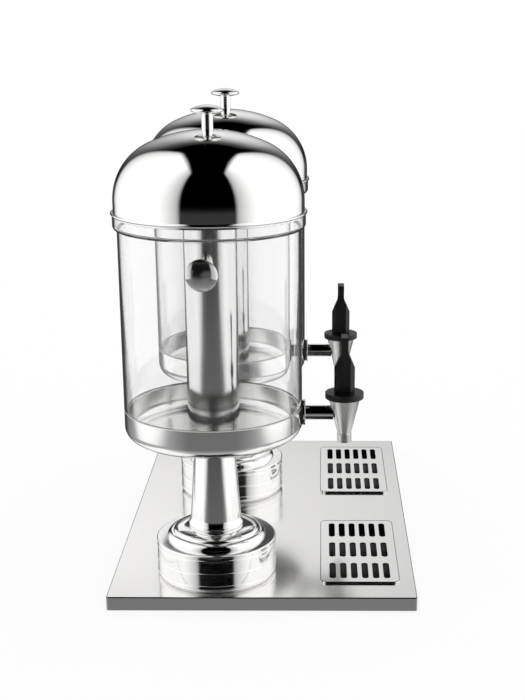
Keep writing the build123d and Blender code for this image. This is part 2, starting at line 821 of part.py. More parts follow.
    with BuildPart() as handle_pin:
        with BuildSketch(Plane((tank_x, tap_y, pin_z), (0, 1, 0), (1, 0, 0))):
            Circle(pin_radius)
        extrude(amount=pin_length / 2, both=True)
    write(handle_pin, f"{side}_handle_pin")

    with BuildPart() as valve_seat:
        with BuildSketch(tap_section):
            Polygon(
                (0, ledge_z),
                (seat_radius, ledge_z),
                (seat_radius, ledge_z + seat_height / 4),
                (stem_radius + seat_height / 4, ledge_z + seat_height),
                (stem_radius + seat_play, ledge_z + seat_height),
                (stem_radius + seat_play, ledge_z + seat_height / 2),
                (0, ledge_z + seat_height / 2),
                align=None,
            )
        revolve(axis=tap_axis)
    write(valve_seat, f"{side}_valve_seat")

    # Return spring between the seat and the bonnet's plug
    spring_bottom = ledge_z + seat_height + spring_wire / 2 + seat_play
    spring_top = cone_top - bonnet_plug - spring_wire / 2 - seat_play
    spring_height = spring_top - spring_bottom
    with BuildPart() as valve_spring:
        with BuildLine(Plane((tank_x, tap_y, spring_bottom), (1, 0, 0), (0, 0, 1))):
            coil = Helix(spring_height / spring_turns, spring_height, spring_radius)
        with BuildSketch(coil ^ 0):
            Circle(spring_wire / 2)
        sweep(path=coil)
    write(valve_spring, f"{side}_valve_spring")

print("stem lift", round(stem_lift, 3), "mm at", handle_tilt, "degrees")
print("overall height", round(crown_top + knob_height, 2), "mm")
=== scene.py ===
# %% [markdown]
# # A twin-tank juice dispenser
#
# The dispenser stands on a buffet table: a flat steel base, two spun-steel
# pedestals, two clear tanks with domed lids and ice tubes inside, and a lever
# tap on each tank over a slotted drip tray. This lesson dresses the solid
# model of it: the solids are loaded as a fixed frame, and the visible pieces
# are remade on top of them with smoother surfaces and real finishes.

from math import asin, atan2, copysign, cos, degrees, radians, sin, sqrt

import bmesh
import bpy
from mathutils import Matrix, Vector


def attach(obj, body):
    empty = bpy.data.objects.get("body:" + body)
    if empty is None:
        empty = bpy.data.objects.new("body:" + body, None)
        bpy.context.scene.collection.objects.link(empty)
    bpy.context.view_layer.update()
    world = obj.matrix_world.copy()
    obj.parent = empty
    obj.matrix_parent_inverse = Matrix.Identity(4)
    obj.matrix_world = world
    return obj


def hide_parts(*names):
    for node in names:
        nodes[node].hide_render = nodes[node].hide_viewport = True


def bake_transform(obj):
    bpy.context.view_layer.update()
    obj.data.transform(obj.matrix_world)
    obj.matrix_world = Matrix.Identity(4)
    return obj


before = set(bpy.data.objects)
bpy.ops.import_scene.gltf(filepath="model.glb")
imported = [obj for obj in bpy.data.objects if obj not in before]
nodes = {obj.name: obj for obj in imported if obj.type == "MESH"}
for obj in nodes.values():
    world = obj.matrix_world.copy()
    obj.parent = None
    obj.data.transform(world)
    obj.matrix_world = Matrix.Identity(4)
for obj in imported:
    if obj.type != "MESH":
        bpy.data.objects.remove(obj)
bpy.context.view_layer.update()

# %% [markdown]
# ## Camera
#
# The photograph looks along the row of tanks from the left end and a little
# from above. Its lens was worked out from the straight edges of the base and
# from the round edges of the tanks. The object stands off the middle of the
# frame, so the camera is shifted instead of turned: a turned camera would make
# the upright edges lean. A tenth of a degree of roll is left, as from a tripod
# set up by eye. Positions here are in metres, as in the solids.

# %% Camera at the photograph's place
frame_width, frame_height = 525, 700
focal_pixels = 1310.7
middle_pixel = (318.75, 402.56)
look_down = radians(16.96)
roll = radians(0.12)

lens = bpy.data.cameras.new("photograph")
lens.sensor_width = 36.0
lens.lens = focal_pixels / frame_height * lens.sensor_width
lens.shift_x = (frame_width / 2 - middle_pixel[0]) / frame_height
lens.shift_y = (middle_pixel[1] - frame_height / 2) / frame_height
lens.clip_end = 100.0
camera = bpy.data.objects.new("photograph", lens)
camera.matrix_world = (
    Matrix.Translation((-1.6490, -0.0654, 0.6746)) @ Matrix.Rotation(radians(-90), 4, "Z")
    @ Matrix.Rotation(radians(90) - look_down, 4, "X") @ Matrix.Rotation(roll, 4, "Z"))
bpy.context.scene.collection.objects.link(camera)
bpy.context.scene.camera = camera
bpy.context.scene.view_settings.view_transform = "Standard"
print("lens", round(lens.lens, 2), "mm, shift", round(lens.shift_x, 4), round(lens.shift_y, 4))

# %% [markdown]
# ## Helpers for shader nodes and colours
#
# Every finish below is a small tree of nodes. One helper adds a node, applies
# its settings and fills its inputs, which are given by name or in the node's
# own order. An input that is given a node or a socket is linked, and any other
# value is written into it. A second helper turns a hex colour, as picked on a
# screen, into the linear numbers that shaders use.

# %% Node and colour helpers
def linear(code):
    """Turns an sRGB hex colour such as "E8E6E2" into linear red, green, blue and alpha."""
    parts = [int(code[i:i + 2], 16) / 255 for i in (0, 2, 4)]
    return (*(c / 12.92 if c <= 0.04045 else ((c + 0.055) / 1.055) ** 2.4 for c in parts), 1.0)


def add(tree, kind, inputs=(), **settings):
    """Adds a node with its settings, values and links: a node by its first output, a list one by one."""
    made = tree.nodes.new(kind)
    for name, value in settings.items():
        setattr(made, name, value)
    for name, value in inputs.items() if isinstance(inputs, dict) else enumerate(inputs):
        for item in value if isinstance(value, list) else [value]:
            source = item.outputs[0] if isinstance(item, bpy.types.Node) else item
            if isinstance(source, bpy.types.NodeSocket):
                tree.links.new(source, made.inputs[name])
            else:
                made.inputs[name].default_value = source
    return made


def new_material(name):
    """A new material and its empty node tree."""
    material = bpy.data.materials.new(name)
    material.use_nodes = True
    material.node_tree.nodes.clear()
    return material, material.node_tree


print("helpers ready; mid grey 808080 is", round(linear("808080")[0], 3), "in linear light")

# %% [markdown]
# ## Light: a white room and a tent
#
# Polished steel has no colour of its own: it shows the room. Product
# photographers stand such an object between two large white screens, one at
# each side, and leave black between them, so that the steel gets white flanks
# with dark bands. Here the world is plain white light of strength 1, and the
# screens and the black gaps are painted on a large round tent that only
# reflected light can see. A ray that has bounced off steel or glass at least
# once meets the tent; the camera and plain shading see the white room.
#
# The tent is painted by direction. The heading is counted in degrees from the
# front, the same to both sides, and the rise in degrees from the horizon.

# %% World
white = linear("FFFFFF")
world = bpy.data.worlds.new("white room")
bpy.context.scene.world = world
world.use_nodes = True
world.node_tree.nodes.clear()
room = add(world.node_tree, "ShaderNodeBackground", {"Color": white, "Strength": 1.0})
add(world.node_tree, "ShaderNodeOutputWorld", {"Surface": room})
print("world: plain white, strength 1")

# %% Tent: heading and rise of each direction
tent_radius = 9.0
tent_centre = (0.0, 0.0, 0.3)
tent_turn = radians(2.55)
half_circle = radians(180)

tent_paint, tree = new_material("tent cloth, screens and black gaps")
place = add(tree, "ShaderNodeTexCoord").outputs["Object"]
pointer = add(tree, "ShaderNodeVectorMath", (place,), operation="NORMALIZE")
toward = add(tree, "ShaderNodeSeparateXYZ", (pointer,)).outputs
ahead = add(tree, "ShaderNodeMath", (toward["X"], -1.0), operation="MULTIPLY")
turned = add(tree, "ShaderNodeMath", (toward["Y"], ahead), operation="ARCTAN2")
turned = add(tree, "ShaderNodeMath", (turned, tent_turn), operation="ADD")
turned = add(tree, "ShaderNodeMath", (turned, half_circle, -half_circle), operation="WRAP")
heading = add(tree, "ShaderNodeMath", (turned, degrees(1)), operation="MULTIPLY")
heading = add(tree, "ShaderNodeMath", (heading,), operation="ABSOLUTE")
rise = add(tree, "ShaderNodeMath", (toward["Z"],), operation="ARCSINE")
rise = add(tree, "ShaderNodeMath", (rise, degrees(1)), operation="MULTIPLY")
print("tent turned by", round(degrees(tent_turn), 2), "degrees")

# %% Tent: brightness by heading or by rise
graphs = {
    # a screen's cloth is brightest straight out to the side
    "across": (heading, [
        (0, 0.0), (31, 0.0), (33, 0.16), (34.5, 0.34), (36.5, 0.46), (39, 0.54), (42.5, 0.63), (46.5, 0.73),
        (52.5, 0.85), (57.5, 0.93), (64, 1.0), (120, 1.0), (128, 0.95), (132.5, 0.87), (138, 0.78), (143, 0.64),
        (145.5, 0.5), (147.5, 0.26), (149.5, 0.1), (151.5, 0.0), (180, 0.0)]),
    "front floor": (rise, [
        (-90, 0.55), (-48, 0.42), (-30, 0.21), (-20, 0.188), (-17, 0.16), (-12.5, 0.105), (-10, 0.066), (-8, 0.041),
        (-5, 0.022), (-2, 0.01), (0, 0.006), (5, 0.0), (10, 0.0)]),
    # the floor is lighter to the side, close to the screens
    "beside": (heading, [
        (0, 1.0), (30, 1.0), (40, 1.29), (50, 1.67), (60, 1.89), (80, 2.14), (100, 2.14), (120, 1.89), (150, 1.0),
        (180, 1.0)]),
    # a lamp makes a glow on the backdrop
    "glow up": (rise, [
        (-5, 0.0), (0, 0.04), (6, 0.2), (10, 0.48), (15, 0.7), (20, 0.87), (25, 1.0), (30, 0.95), (35, 0.8),
        (40, 0.42), (45, 0.12), (50, 0.0), (60, 0.0)]),
    "glow across": (heading, [
        (145, 0.0), (152.5, 0.1), (157.5, 0.17), (162.5, 0.33), (167.5, 0.6), (172.5, 0.85), (180, 0.95)])}
levels = {}
for name, (angle, points) in graphs.items():
    first, last = points[0][0], points[-1][0]
    share = add(tree, "ShaderNodeMapRange", {"Value": angle, "From Min": first, "From Max": last})
    levels[name] = add(tree, "ShaderNodeValToRGB", {"Fac": share})
    elements = levels[name].color_ramp.elements
    elements.remove(elements[-1])
    for number, (at, light) in enumerate(points):
        position = (at - first) / (last - first)
        element = elements[0] if number == 0 else elements.new(position)
        element.position = position
        element.color = (light, light, light, 1.0)
print(len(levels), "graphs of brightness drawn")

# %% Tent: the two screens
screen_white = 1.25
# how far the upper bar rises, and the foot of the cloth falls, for each step out to the side
bar_slope, foot_slope = 3.37, 0.365
# half the width of each soft edge, in degrees
bar_soft, foot_soft = 3.0, 1.0

aside = add(tree, "ShaderNodeMath", (turned,), operation="SINE")
aside = add(tree, "ShaderNodeMath", (aside,), operation="ABSOLUTE")
screens = levels["across"]
for slope, compared, soft in ((bar_slope, "SUBTRACT", bar_soft), (foot_slope, "ADD", foot_soft)):
    edge = add(tree, "ShaderNodeMath", (aside, slope), operation="MULTIPLY")
    edge = add(tree, "ShaderNodeMath", (edge,), operation="ARCTANGENT")
    edge = add(tree, "ShaderNodeMath", (edge, degrees(1)), operation="MULTIPLY")
    inside = add(tree, "ShaderNodeMath", (edge, rise), operation=compared)
    within = add(tree, "ShaderNodeMapRange", (inside, -soft, soft), interpolation_type="SMOOTHSTEP")
    screens = add(tree, "ShaderNodeMath", (screens, within), operation="MULTIPLY")
screens = add(tree, "ShaderNodeMath", (screens, screen_white), operation="MULTIPLY")
print("screens from 33 to 148 degrees on each side")

# %% Tent: studio floor, glow on the backdrop
floor_limit, back_floor_light = 0.55, 0.06

side_floor = add(tree, "ShaderNodeMath", (levels["front floor"], levels["beside"]), operation="MULTIPLY")
side_floor = add(tree, "ShaderNodeMath", (side_floor, floor_limit), operation="MINIMUM")
back_floor = add(tree, "ShaderNodeMapRange", (
    rise, 2.0, -3.0, 0.0, back_floor_light), interpolation_type="SMOOTHSTEP")
to_back = add(tree, "ShaderNodeMapRange", (heading, 135.0, 150.0), interpolation_type="SMOOTHSTEP")
ground = add(tree, "ShaderNodeMix", {"Factor": to_back, "A": side_floor, "B": back_floor})
glow = add(tree, "ShaderNodeMath", (levels["glow up"], levels["glow across"]), operation="MULTIPLY")
light = add(tree, "ShaderNodeMath", (screens, glow), operation="MAXIMUM")
light = add(tree, "ShaderNodeMath", (light, ground), operation="MAXIMUM")
print("floor and glow painted")

# %% Tent: cloth that only reflections see
cloth = add(tree, "ShaderNodeEmission", {"Color": white, "Strength": light})
bounces = add(tree, "ShaderNodeLightPath").outputs["Glossy Depth"]
bounced = add(tree, "ShaderNodeMath", (bounces, 0.5), operation="GREATER_THAN")
clear = add(tree, "ShaderNodeBsdfTransparent")
shown = add(tree, "ShaderNodeMixShader", (bounced, clear, cloth))
add(tree, "ShaderNodeOutputMaterial", {"Surface": shown})

shape = bmesh.new()
bmesh.ops.create_icosphere(shape, subdivisions=4, radius=tent_radius)
tent_mesh = bpy.data.meshes.new("tent")
shape.to_mesh(tent_mesh)
shape.free()
tent_mesh.materials.append(tent_paint)
tent = bpy.data.objects.new("tent", tent_mesh)
tent.location = tent_centre
bpy.context.scene.collection.objects.link(tent)
tent.visible_camera = tent.visible_diffuse = tent.visible_shadow = False
tent.visible_volume_scatter = False
print("tent: radius", tent_radius, "m, seen by reflections only")

# %% [markdown]
# ## Floor and cards
#
# The table is a plain white sheet. Most of its white is given to the camera
# directly, and the rest is real shading, so a soft shadow stays where the base
# meets it. Reflections see the tent in place of the sheet.
#
# Cards are what a photographer sets up where the camera can't see them, and
# only reflections see these. Mirrors lie round the base, level with its top, so
# that the drums show the screens and the black gap between them and not the
# floor. A white sheet is slung behind the object, rising away from it, and only
# its underside is lit. The flat top of the base mirrors it, and the lids, which
# stand above its plane, keep the dark backdrop that draws their outlines.

# %% Floor
table_half = 40.0
given_white = 0.85

floor_paint, tree = new_material("white table sheet")
path = add(tree, "ShaderNodeLightPath").outputs
matt = add(tree, "ShaderNodeBsdfDiffuse", {"Color": white})
bright = add(tree, "ShaderNodeEmission", {"Color": white, "Strength": 1.0})
seen = add(tree, "ShaderNodeMath", (path["Is Camera Ray"], path["Is Transmission Ray"]), operation="MAXIMUM")
seen = add(tree, "ShaderNodeMath", (seen, given_white), operation="MULTIPLY")
sheet = add(tree, "ShaderNodeMixShader", (seen, matt, bright))
bounced = add(tree, "ShaderNodeMath", (path["Glossy Depth"], 0.5), operation="GREATER_THAN")
clear = add(tree, "ShaderNodeBsdfTransparent")
shown = add(tree, "ShaderNodeMixShader", (bounced, sheet, clear))
add(tree, "ShaderNodeOutputMaterial", {"Surface": shown})


def flat_sheet(name, corners, material):
    """A flat stage piece with those corners, in metres."""
    mesh = bpy.data.meshes.new(name)
    mesh.from_pydata(corners, [], [tuple(range(len(corners)))])
    mesh.materials.append(material)
    piece = bpy.data.objects.new(name, mesh)
    bpy.context.scene.collection.objects.link(piece)
    return piece


def rectangle(x0, x1, y0, y1, z):
    """Corners of a level rectangle, in metres."""
    return [(x0, y0, z), (x1, y0, z), (x1, y1, z), (x0, y1, z)]


flat_sheet("table", rectangle(-table_half, table_half, -table_half, table_half, 0.0), floor_paint)
print("floor:", 2 * table_half, "m square")

# %% Cards
def only_reflected(piece):
    """Hides a stage piece from all but reflections."""
    piece.visible_camera = piece.visible_diffuse = piece.visible_shadow = piece.visible_transmission = False


mirror_paint, tree = new_material("mirror card")
silver = add(tree, "ShaderNodeBsdfGlossy", {"Color": linear("F0F0F0"), "Roughness": 0.0})
add(tree, "ShaderNodeOutputMaterial", {"Surface": silver})
near, far, behind, side, wide, level = -0.2686, -0.37, 0.3, 0.1805, 0.36, 0.018
mirrors = [(far, near, -0.25, wide), (near, behind, side, wide), (near, behind, -wide, -side)]
for strip in mirrors:
    only_reflected(flat_sheet("mirror", rectangle(*strip, level), mirror_paint))

# the light fans out over the sheet and is weaker on one side
fan_back = 1.7
card_paint, tree = new_material("white sheet, lit from below and from one side")
spot = add(tree, "ShaderNodeSeparateXYZ", (add(tree, "ShaderNodeTexCoord").outputs["Object"],)).outputs
away = add(tree, "ShaderNodeMath", (spot["X"], fan_back), operation="ADD")
along = add(tree, "ShaderNodeMath", (spot["Y"], away), operation="DIVIDE")
lit = add(tree, "ShaderNodeMapRange", {
    "Value": along, "From Min": -0.12, "From Max": 0.16, "To Min": 0.75, "To Max": 1.04})
paper = add(tree, "ShaderNodeEmission", {"Color": white, "Strength": lit})
clear = add(tree, "ShaderNodeBsdfTransparent")
above = add(tree, "ShaderNodeNewGeometry").outputs["Backfacing"]
shown = add(tree, "ShaderNodeMixShader", (above, paper, clear))
add(tree, "ShaderNodeOutputMaterial", {"Surface": shown})
only_reflected(flat_sheet("sheet behind", [
    (0.45, -0.5, 0.509), (0.45, 0.5, 0.509), (8.0, 3.0, 2.554), (8.0, -3.0, 2.554)], card_paint))
print(len(mirrors), "mirrors round the base and a sheet slung behind it")

# %% [markdown]
# ## Places
#
# Two equal stations stand on the base, 286 mm apart. All sizes from here on are
# in millimetres, from the middle of the stand at table height.

# %% Places
mm = 0.001
base_top = 18.0
base_x = 15.7
left_x = base_x - 206.0
tank_pitch = 286.0
tank_y = 57.0
tap_reach = 152.2
stations = {"left": left_x, "right": left_x + tank_pitch}
tap_y = tank_y - tap_reach
print("stations at x =", stations, "and y =", tank_y, "mm")

# %% [markdown]
# ## Finishes
#
# Polished stainless steel: spun or drawn sheet, ground and buffed until it
# shows a clear image. What is left to see is a faint haze that varies over the
# surface, where the mop pressed more or less, and very shallow waves. The lid
# has the clearest polish, the pedestals, the cup and the ice tube a softer one,
# and the pan and the tap a satin one, in which the tent melts into soft bands.

# %% Polished steel
# patches of buffing haze about 40 mm across, ripples about 60 mm long left by the spinning roller
haze_per_metre, ripples_per_metre = 25.0, 16.0


def leaning(tree, lean):
    """The surface's own direction, pushed over by a small vector, for sheet that is out of true."""
    straight = add(tree, "ShaderNodeNewGeometry").outputs["Normal"]
    pushed = add(tree, "ShaderNodeVectorMath", (straight, lean), operation="ADD")
    return add(tree, "ShaderNodeVectorMath", (pushed,), operation="NORMALIZE")


def polished_steel(name, haze, wave, lean=(0.0, 0.0, 0.0), colour="F0F0EF"):
    """Buffed stainless steel. haze is its roughness range, wave the depth of its ripple in millimetres."""
    material, tree = new_material(name)
    place = add(tree, "ShaderNodeTexCoord").outputs["Object"]
    patches = add(tree, "ShaderNodeTexNoise", {
        "Vector": place, "Scale": haze_per_metre, "Detail": 3.0, "Roughness": 0.55})
    rough = add(tree, "ShaderNodeMapRange", {
        "Value": patches, "From Min": 0.3, "From Max": 0.7, "To Min": haze[0], "To Max": haze[1]})
    ripple = add(tree, "ShaderNodeTexNoise", {"Vector": place, "Scale": ripples_per_metre, "Detail": 1.0})
    bump = add(tree, "ShaderNodeBump", {
        "Height": ripple, "Distance": wave * mm, "Strength": 1.0, "Normal": leaning(tree, lean)})
    steel = add(tree, "ShaderNodeBsdfPrincipled", {
        "Base Color": linear(colour), "Metallic": 1.0, "Roughness": rough, "Normal": bump})
    add(tree, "ShaderNodeOutputMaterial", {"Surface": steel})
    return material


mirror_steel = polished_steel("mirror-polished stainless steel", (0.04, 0.07), 0.02)
drum_steel = polished_steel("buffed stainless drum", (0.09, 0.12), 0.02)
column_steel = polished_steel("soft-polished stainless column", (0.1, 0.13), 0.02)
cup_steel = polished_steel("soft-polished stainless cup", (0.11, 0.13), 0.02)
pan_steel = polished_steel("satin-polished stainless pan", (0.16, 0.2), 0.01)
tube_steel = polished_steel("soft-polished stainless tube", (0.12, 0.14), 0.005)
tap_steel = polished_steel("satin-polished stainless tap", (0.24, 0.28), 0.005, colour="D9D8D6")
# the knob's dish is pressed a little out of true, so it looks straight ahead and slightly up
knob_steel = polished_steel("polished stainless dish", (0.04, 0.07), 0.005, lean=(0.0, -0.184, 0.065))
print("made eight polishes, from", mirror_steel.name, "to", tap_steel.name)

# %% [markdown]
# Satin stainless sheet: the base and the grilles are rubbed with a fine belt,
# which leaves short straight scratches. They are a few hundredths of a
# millimetre wide on the real sheet. Here they are drawn about 0.6 mm wide so
# that they still show as a faint grain. The belt can't get close to the ends of
# the drums, where the sheet stays hazier. The rolled edges get a dark colour
# painted on them: a painted shade line along each edge.

# %% Satin steel
# the scratches are about 80 mm long and 0.6 mm wide, the clouds about 110 mm
scratches_per_metre, clouds_per_metre = (12.0, 1600.0, 1600.0), 9.0
# haze at the foot of a drum, and the distances from its axis between which it fades; the belt
# runs along X, so beside a drum the same distances count for less
foot_haze, haze_end, haze_start, belt_pass = 0.3, 0.092, 0.073, 1.25
# thin sheet is never dead flat: this one falls away a little between these two places on X
fall_start, fall_end = -0.02, -0.13


def satin_steel(name, colour, haze, fall=0.0, edge=None, feet=()):
    """Belt-rubbed stainless sheet with its grain along X.

    haze is its roughness range, fall the slope of its near end, edge the dark
    colour painted on its rolled edges as painted shade, and feet are the axes of
    the drums on it, in metres.
    """
    material, tree = new_material(name)
    place = add(tree, "ShaderNodeTexCoord").outputs["Object"]
    stretched = add(tree, "ShaderNodeMapping", {"Vector": place, "Scale": scratches_per_metre})
    grain = add(tree, "ShaderNodeTexNoise", {"Vector": stretched, "Scale": 1.0, "Detail": 3.0})
    cloud = add(tree, "ShaderNodeTexNoise", {"Vector": place, "Scale": clouds_per_metre, "Detail": 2.0})
    mixed = add(tree, "ShaderNodeMix", {"Factor": 0.35, "A": grain, "B": cloud})
    rough = add(tree, "ShaderNodeMapRange", {
        "Value": mixed, "From Min": 0.35, "From Max": 0.65, "To Min": haze[0], "To Max": haze[1]})
    straight = add(tree, "ShaderNodeNewGeometry").outputs["Normal"]
    upright = add(tree, "ShaderNodeSeparateXYZ", (straight,)).outputs["Z"]
    for x, y in feet:
        offset = add(tree, "ShaderNodeMapping", {
            "Vector": place, "Location": (-x, -belt_pass * y, 0.0), "Scale": (1.0, belt_pass, 0.0)})
        away = add(tree, "ShaderNodeVectorMath", (offset,), operation="LENGTH").outputs["Value"]
        hazy = add(tree, "ShaderNodeMapRange", (
            away, haze_end, haze_start, haze[0], foot_haze), interpolation_type="SMOOTHSTEP")
        hazy = add(tree, "ShaderNodeMath", (upright, hazy), operation="MULTIPLY")
        rough = add(tree, "ShaderNodeMath", (rough, hazy), operation="MAXIMUM")
    along = add(tree, "ShaderNodeSeparateXYZ", (place,)).outputs["X"]
    slope = add(tree, "ShaderNodeMapRange", (
        along, fall_start, fall_end, 0.0, -fall), interpolation_type="SMOOTHSTEP")
    lean = add(tree, "ShaderNodeCombineXYZ", {"X": slope})
    bump = add(tree, "ShaderNodeBump", {
        "Height": grain, "Distance": 0.01 * mm, "Strength": 0.06, "Normal": leaning(tree, lean)})
    steel = add(tree, "ShaderNodeBsdfPrincipled", {
        "Base Color": linear(colour), "Metallic": 1.0, "Roughness": rough, "Normal": bump})
    if edge:
        # a rolled edge is neither level nor upright: there the edge colour is painted in, a painted shade line
        tilted = add(tree, "ShaderNodeMapRange", (upright, 0.99, 0.93), interpolation_type="SMOOTHSTEP")
        facing_up = add(tree, "ShaderNodeMapRange", (upright, 0.08, 0.25), interpolation_type="SMOOTHSTEP")
        painted_edge_shade = add(tree, "ShaderNodeMath", (tilted, facing_up), operation="MULTIPLY")
        shade = add(tree, "ShaderNodeMix", {0: painted_edge_shade, 6: linear(colour), 7: linear(edge)}, data_type="RGBA")
        tree.links.new(shade.outputs[2], steel.inputs["Base Color"])
    add(tree, "ShaderNodeOutputMaterial", {"Surface": steel})
    return material


drum_axes = [(x * mm, tank_y * mm) for x in stations.values()]
# the dark edge colour 343331 is painted shade on the rolled edges of both sheets
base_steel = satin_steel(
    "satin stainless base sheet", "F0EFEE", (0.15, 0.18), fall=0.056, edge="343331", feet=drum_axes)
grille_steel = satin_steel("satin stainless grille sheet", "F0EFEE", (0.13, 0.16), fall=0.056, edge="343331")
machined_steel = satin_steel("turned stainless hardware", "C4C3C1", (0.28, 0.4))
print("made", base_steel.name, ",", grille_steel.name, "and", machined_steel.name)

# %% [markdown]
# Clear polycarbonate: the tank is extruded and blown, so it is clear and
# glossy, with very long shallow waves. It bends light strongly, which is what
# draws the grey lines down its sides.

# %% Clear polycarbonate
# waves about 70 mm across and 250 mm long, 0.2 mm deep, and marks of handling about 30 mm across
waves_per_metre, wave_depth, marks_per_metre = (14.0, 14.0, 4.0), 0.2, 30.0

tank_plastic, tree = new_material("clear polycarbonate")
place = add(tree, "ShaderNodeTexCoord").outputs["Object"]
long_waves = add(tree, "ShaderNodeMapping", {"Vector": place, "Scale": waves_per_metre})
waves = add(tree, "ShaderNodeTexNoise", {"Vector": long_waves, "Scale": 1.0, "Detail": 0.0})
bump = add(tree, "ShaderNodeBump", {"Height": waves, "Distance": wave_depth * mm, "Strength": 0.2})
handling = add(tree, "ShaderNodeTexNoise", {"Vector": place, "Scale": marks_per_metre, "Detail": 4.0})
rough = add(tree, "ShaderNodeMapRange", {
    "Value": handling, "From Min": 0.4, "From Max": 0.8, "To Min": 0.0, "To Max": 0.03})
body = add(tree, "ShaderNodeBsdfPrincipled", {
    "Base Color": linear("FAFAFA"), "Transmission Weight": 1.0, "IOR": 1.585, "Roughness": rough, "Normal": bump})
add(tree, "ShaderNodeOutputMaterial", {"Surface": body})
print("made", tank_plastic.name)

# %% [markdown]
# Moulded parts: the tap's bonnet and handle, and the drip tray, are black
# glass-filled nylon from a spark-eroded mould, which gives an even fine grain
# and a dull sheen. The seals in the tank are whitish silicone, and the tap's
# outer seal and the pads are black rubber.

# %% Moulded plastics and rubbers
# soft clouds of colour about 17 mm across
tints_per_metre = 60.0


def moulded(name, colour, shade, rough, grain_mm, depth_mm):
    """A moulded part: two close colours in soft clouds, with a fine surface grain."""
    material, tree = new_material(name)
    place = add(tree, "ShaderNodeTexCoord").outputs["Object"]
    cloud = add(tree, "ShaderNodeTexNoise", {"Vector": place, "Scale": tints_per_metre, "Detail": 2.0})
    tint = add(tree, "ShaderNodeMix", {0: cloud, 6: linear(colour), 7: linear(shade)}, data_type="RGBA").outputs[2]
    grain = add(tree, "ShaderNodeTexNoise", {"Vector": place, "Scale": 1000.0 / grain_mm, "Detail": 1.0})
    bump = add(tree, "ShaderNodeBump", {"Height": grain, "Distance": depth_mm * mm, "Strength": 0.6})
    roughness = add(tree, "ShaderNodeMapRange", {
        "Value": grain, "From Min": 0.3, "From Max": 0.7, "To Min": rough - 0.05, "To Max": rough + 0.05})
    body = add(tree, "ShaderNodeBsdfPrincipled", {"Base Color": tint, "Roughness": roughness, "Normal": bump})
    add(tree, "ShaderNodeOutputMaterial", {"Surface": body})
    return material


black_nylon = moulded("black moulded nylon", "0B0B0B", "121212", 0.42, 0.6, 0.02)
tray_nylon = moulded("black moulded tray", "101010", "161616", 0.5, 0.8, 0.02)
silicone = moulded("food-grade silicone", "D6D4CE", "C8C6C0", 0.45, 1.2, 0.01)
rubber = moulded("black rubber", "141414", "1C1B1A", 0.65, 0.8, 0.03)
print("made", black_nylon.name, ",", tray_nylon.name, ",", silicone.name, "and", rubber.name)

# %% [markdown]
# ## Turned pieces
#
# Most of the dispenser is round: each piece is a half section turned about an
# axis. The solids hold the same sections, but cut into flat facets that would
# show in polished steel. So each visible round piece is turned again here, with
# many steps, and then stands for its solid. Two short extra steps next to each
# corner of the section keep the flat runs truly flat in the reflections.

# %% Section and turning helpers
sheet_edge = 0.3


def arc(centre, radius, start, end, steps):
    """Points of an arc in a section, from start to end in degrees."""
    turns = [radians(start + (end - start) * i / steps) for i in range(steps + 1)]
    return [(centre[0] + radius * cos(t), centre[1] + radius * sin(t)) for t in turns]


def arc_through(start, middle, end, steps):
    """Points of the arc through three points of a section."""
    a, b, c = Vector(start), Vector(middle), Vector(end)
    d = 2 * (a.x * (b.y - c.y) + b.x * (c.y - a.y) + c.x * (a.y - b.y))
    squares = [p.length_squared for p in (a, b, c)]
    centre = Vector((
        (squares[0] * (b.y - c.y) + squares[1] * (c.y - a.y) + squares[2] * (a.y - b.y)) / d,
        (squares[0] * (c.x - b.x) + squares[1] * (a.x - c.x) + squares[2] * (b.x - a.x)) / d))
    first, last = (degrees(atan2((p - centre).y, (p - centre).x)) for p in (a, c))
    turn = (last - first + 180) % 360 - 180
    return arc(tuple(centre), (a - centre).length, first, first + turn, steps)


def held(loop, reach=0.35):
    """Adds a point near each end of every long run of a closed section, to hold it flat."""
    points = []
    for (r0, z0), (r1, z1) in zip(loop, loop[1:] + loop[:1]):
        length = sqrt((r1 - r0) ** 2 + (z1 - z0) ** 2)
        if length < 1e-6:
            continue
        points.append((r0, z0))
        if length > 6 * reach:
            for share in (reach / length, 1 - reach / length):
                points.append((r0 + (r1 - r0) * share, z0 + (z1 - z0) * share))
    return points


def finished(name, shape, material, sharp=35.0):
    """Turns a bmesh into a smooth-shaded object with its sharp edges marked."""
    mesh = bpy.data.meshes.new(name)
    shape.to_mesh(mesh)
    shape.free()
    for face in mesh.polygons:
        face.use_smooth = True
    mesh.set_sharp_from_angle(angle=radians(sharp))
    mesh.materials.append(material)
    piece = bpy.data.objects.new(name, mesh)
    bpy.context.scene.collection.objects.link(piece)
    return piece


def turned_piece(name, loop, place, material, steps=160):
    """Turns a closed section (radius, height, in mm) about +Z, then moves it by the place matrix, in mm."""
    loop = held(loop)
    shape = bmesh.new()
    rings = []
    for i in range(steps):
        t = radians(360.0 * i / steps)
        rings.append([shape.verts.new((r * cos(t), r * sin(t), z)) for r, z in loop])
    for ring, following in zip(rings, rings[1:] + rings[:1]):
        for i in range(len(loop)):
            j = (i + 1) % len(loop)
            if loop[i][0] > 1e-6 or loop[j][0] > 1e-6:
                shape.faces.new((ring[i], following[i], following[j], ring[j]))
    bmesh.ops.remove_doubles(shape, verts=shape.verts, dist=1e-5)
    bmesh.ops.dissolve_degenerate(shape, edges=shape.edges, dist=1e-6)
    bmesh.ops.recalc_face_normals(shape, faces=shape.faces)
    bmesh.ops.transform(shape, matrix=Matrix.Scale(mm, 4) @ place, verts=shape.verts)
    return finished(name, shape, material)


def stands_for(piece, node, body):
    """Makes a finished piece ride on a body in place of a solid."""
    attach(piece, body)
    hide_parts(node)


def turned_on_stand(parts, steps=160):
    """Turns sections about the axis of each tank, as pieces of the stand: (node, section, finish, slot); the slot
    is not used.
    """
    for side, x in stations.items():
        axis = Matrix.Translation((x, tank_y, 0))
        for part, loop, material, slot in parts:
            piece = turned_piece(f"{side}_{part}_skin", loop, axis, material, steps)
            stands_for(piece, f"{side}_{part}", "stand")


print("section helpers ready, sheet edges broken by", sheet_edge, "mm")

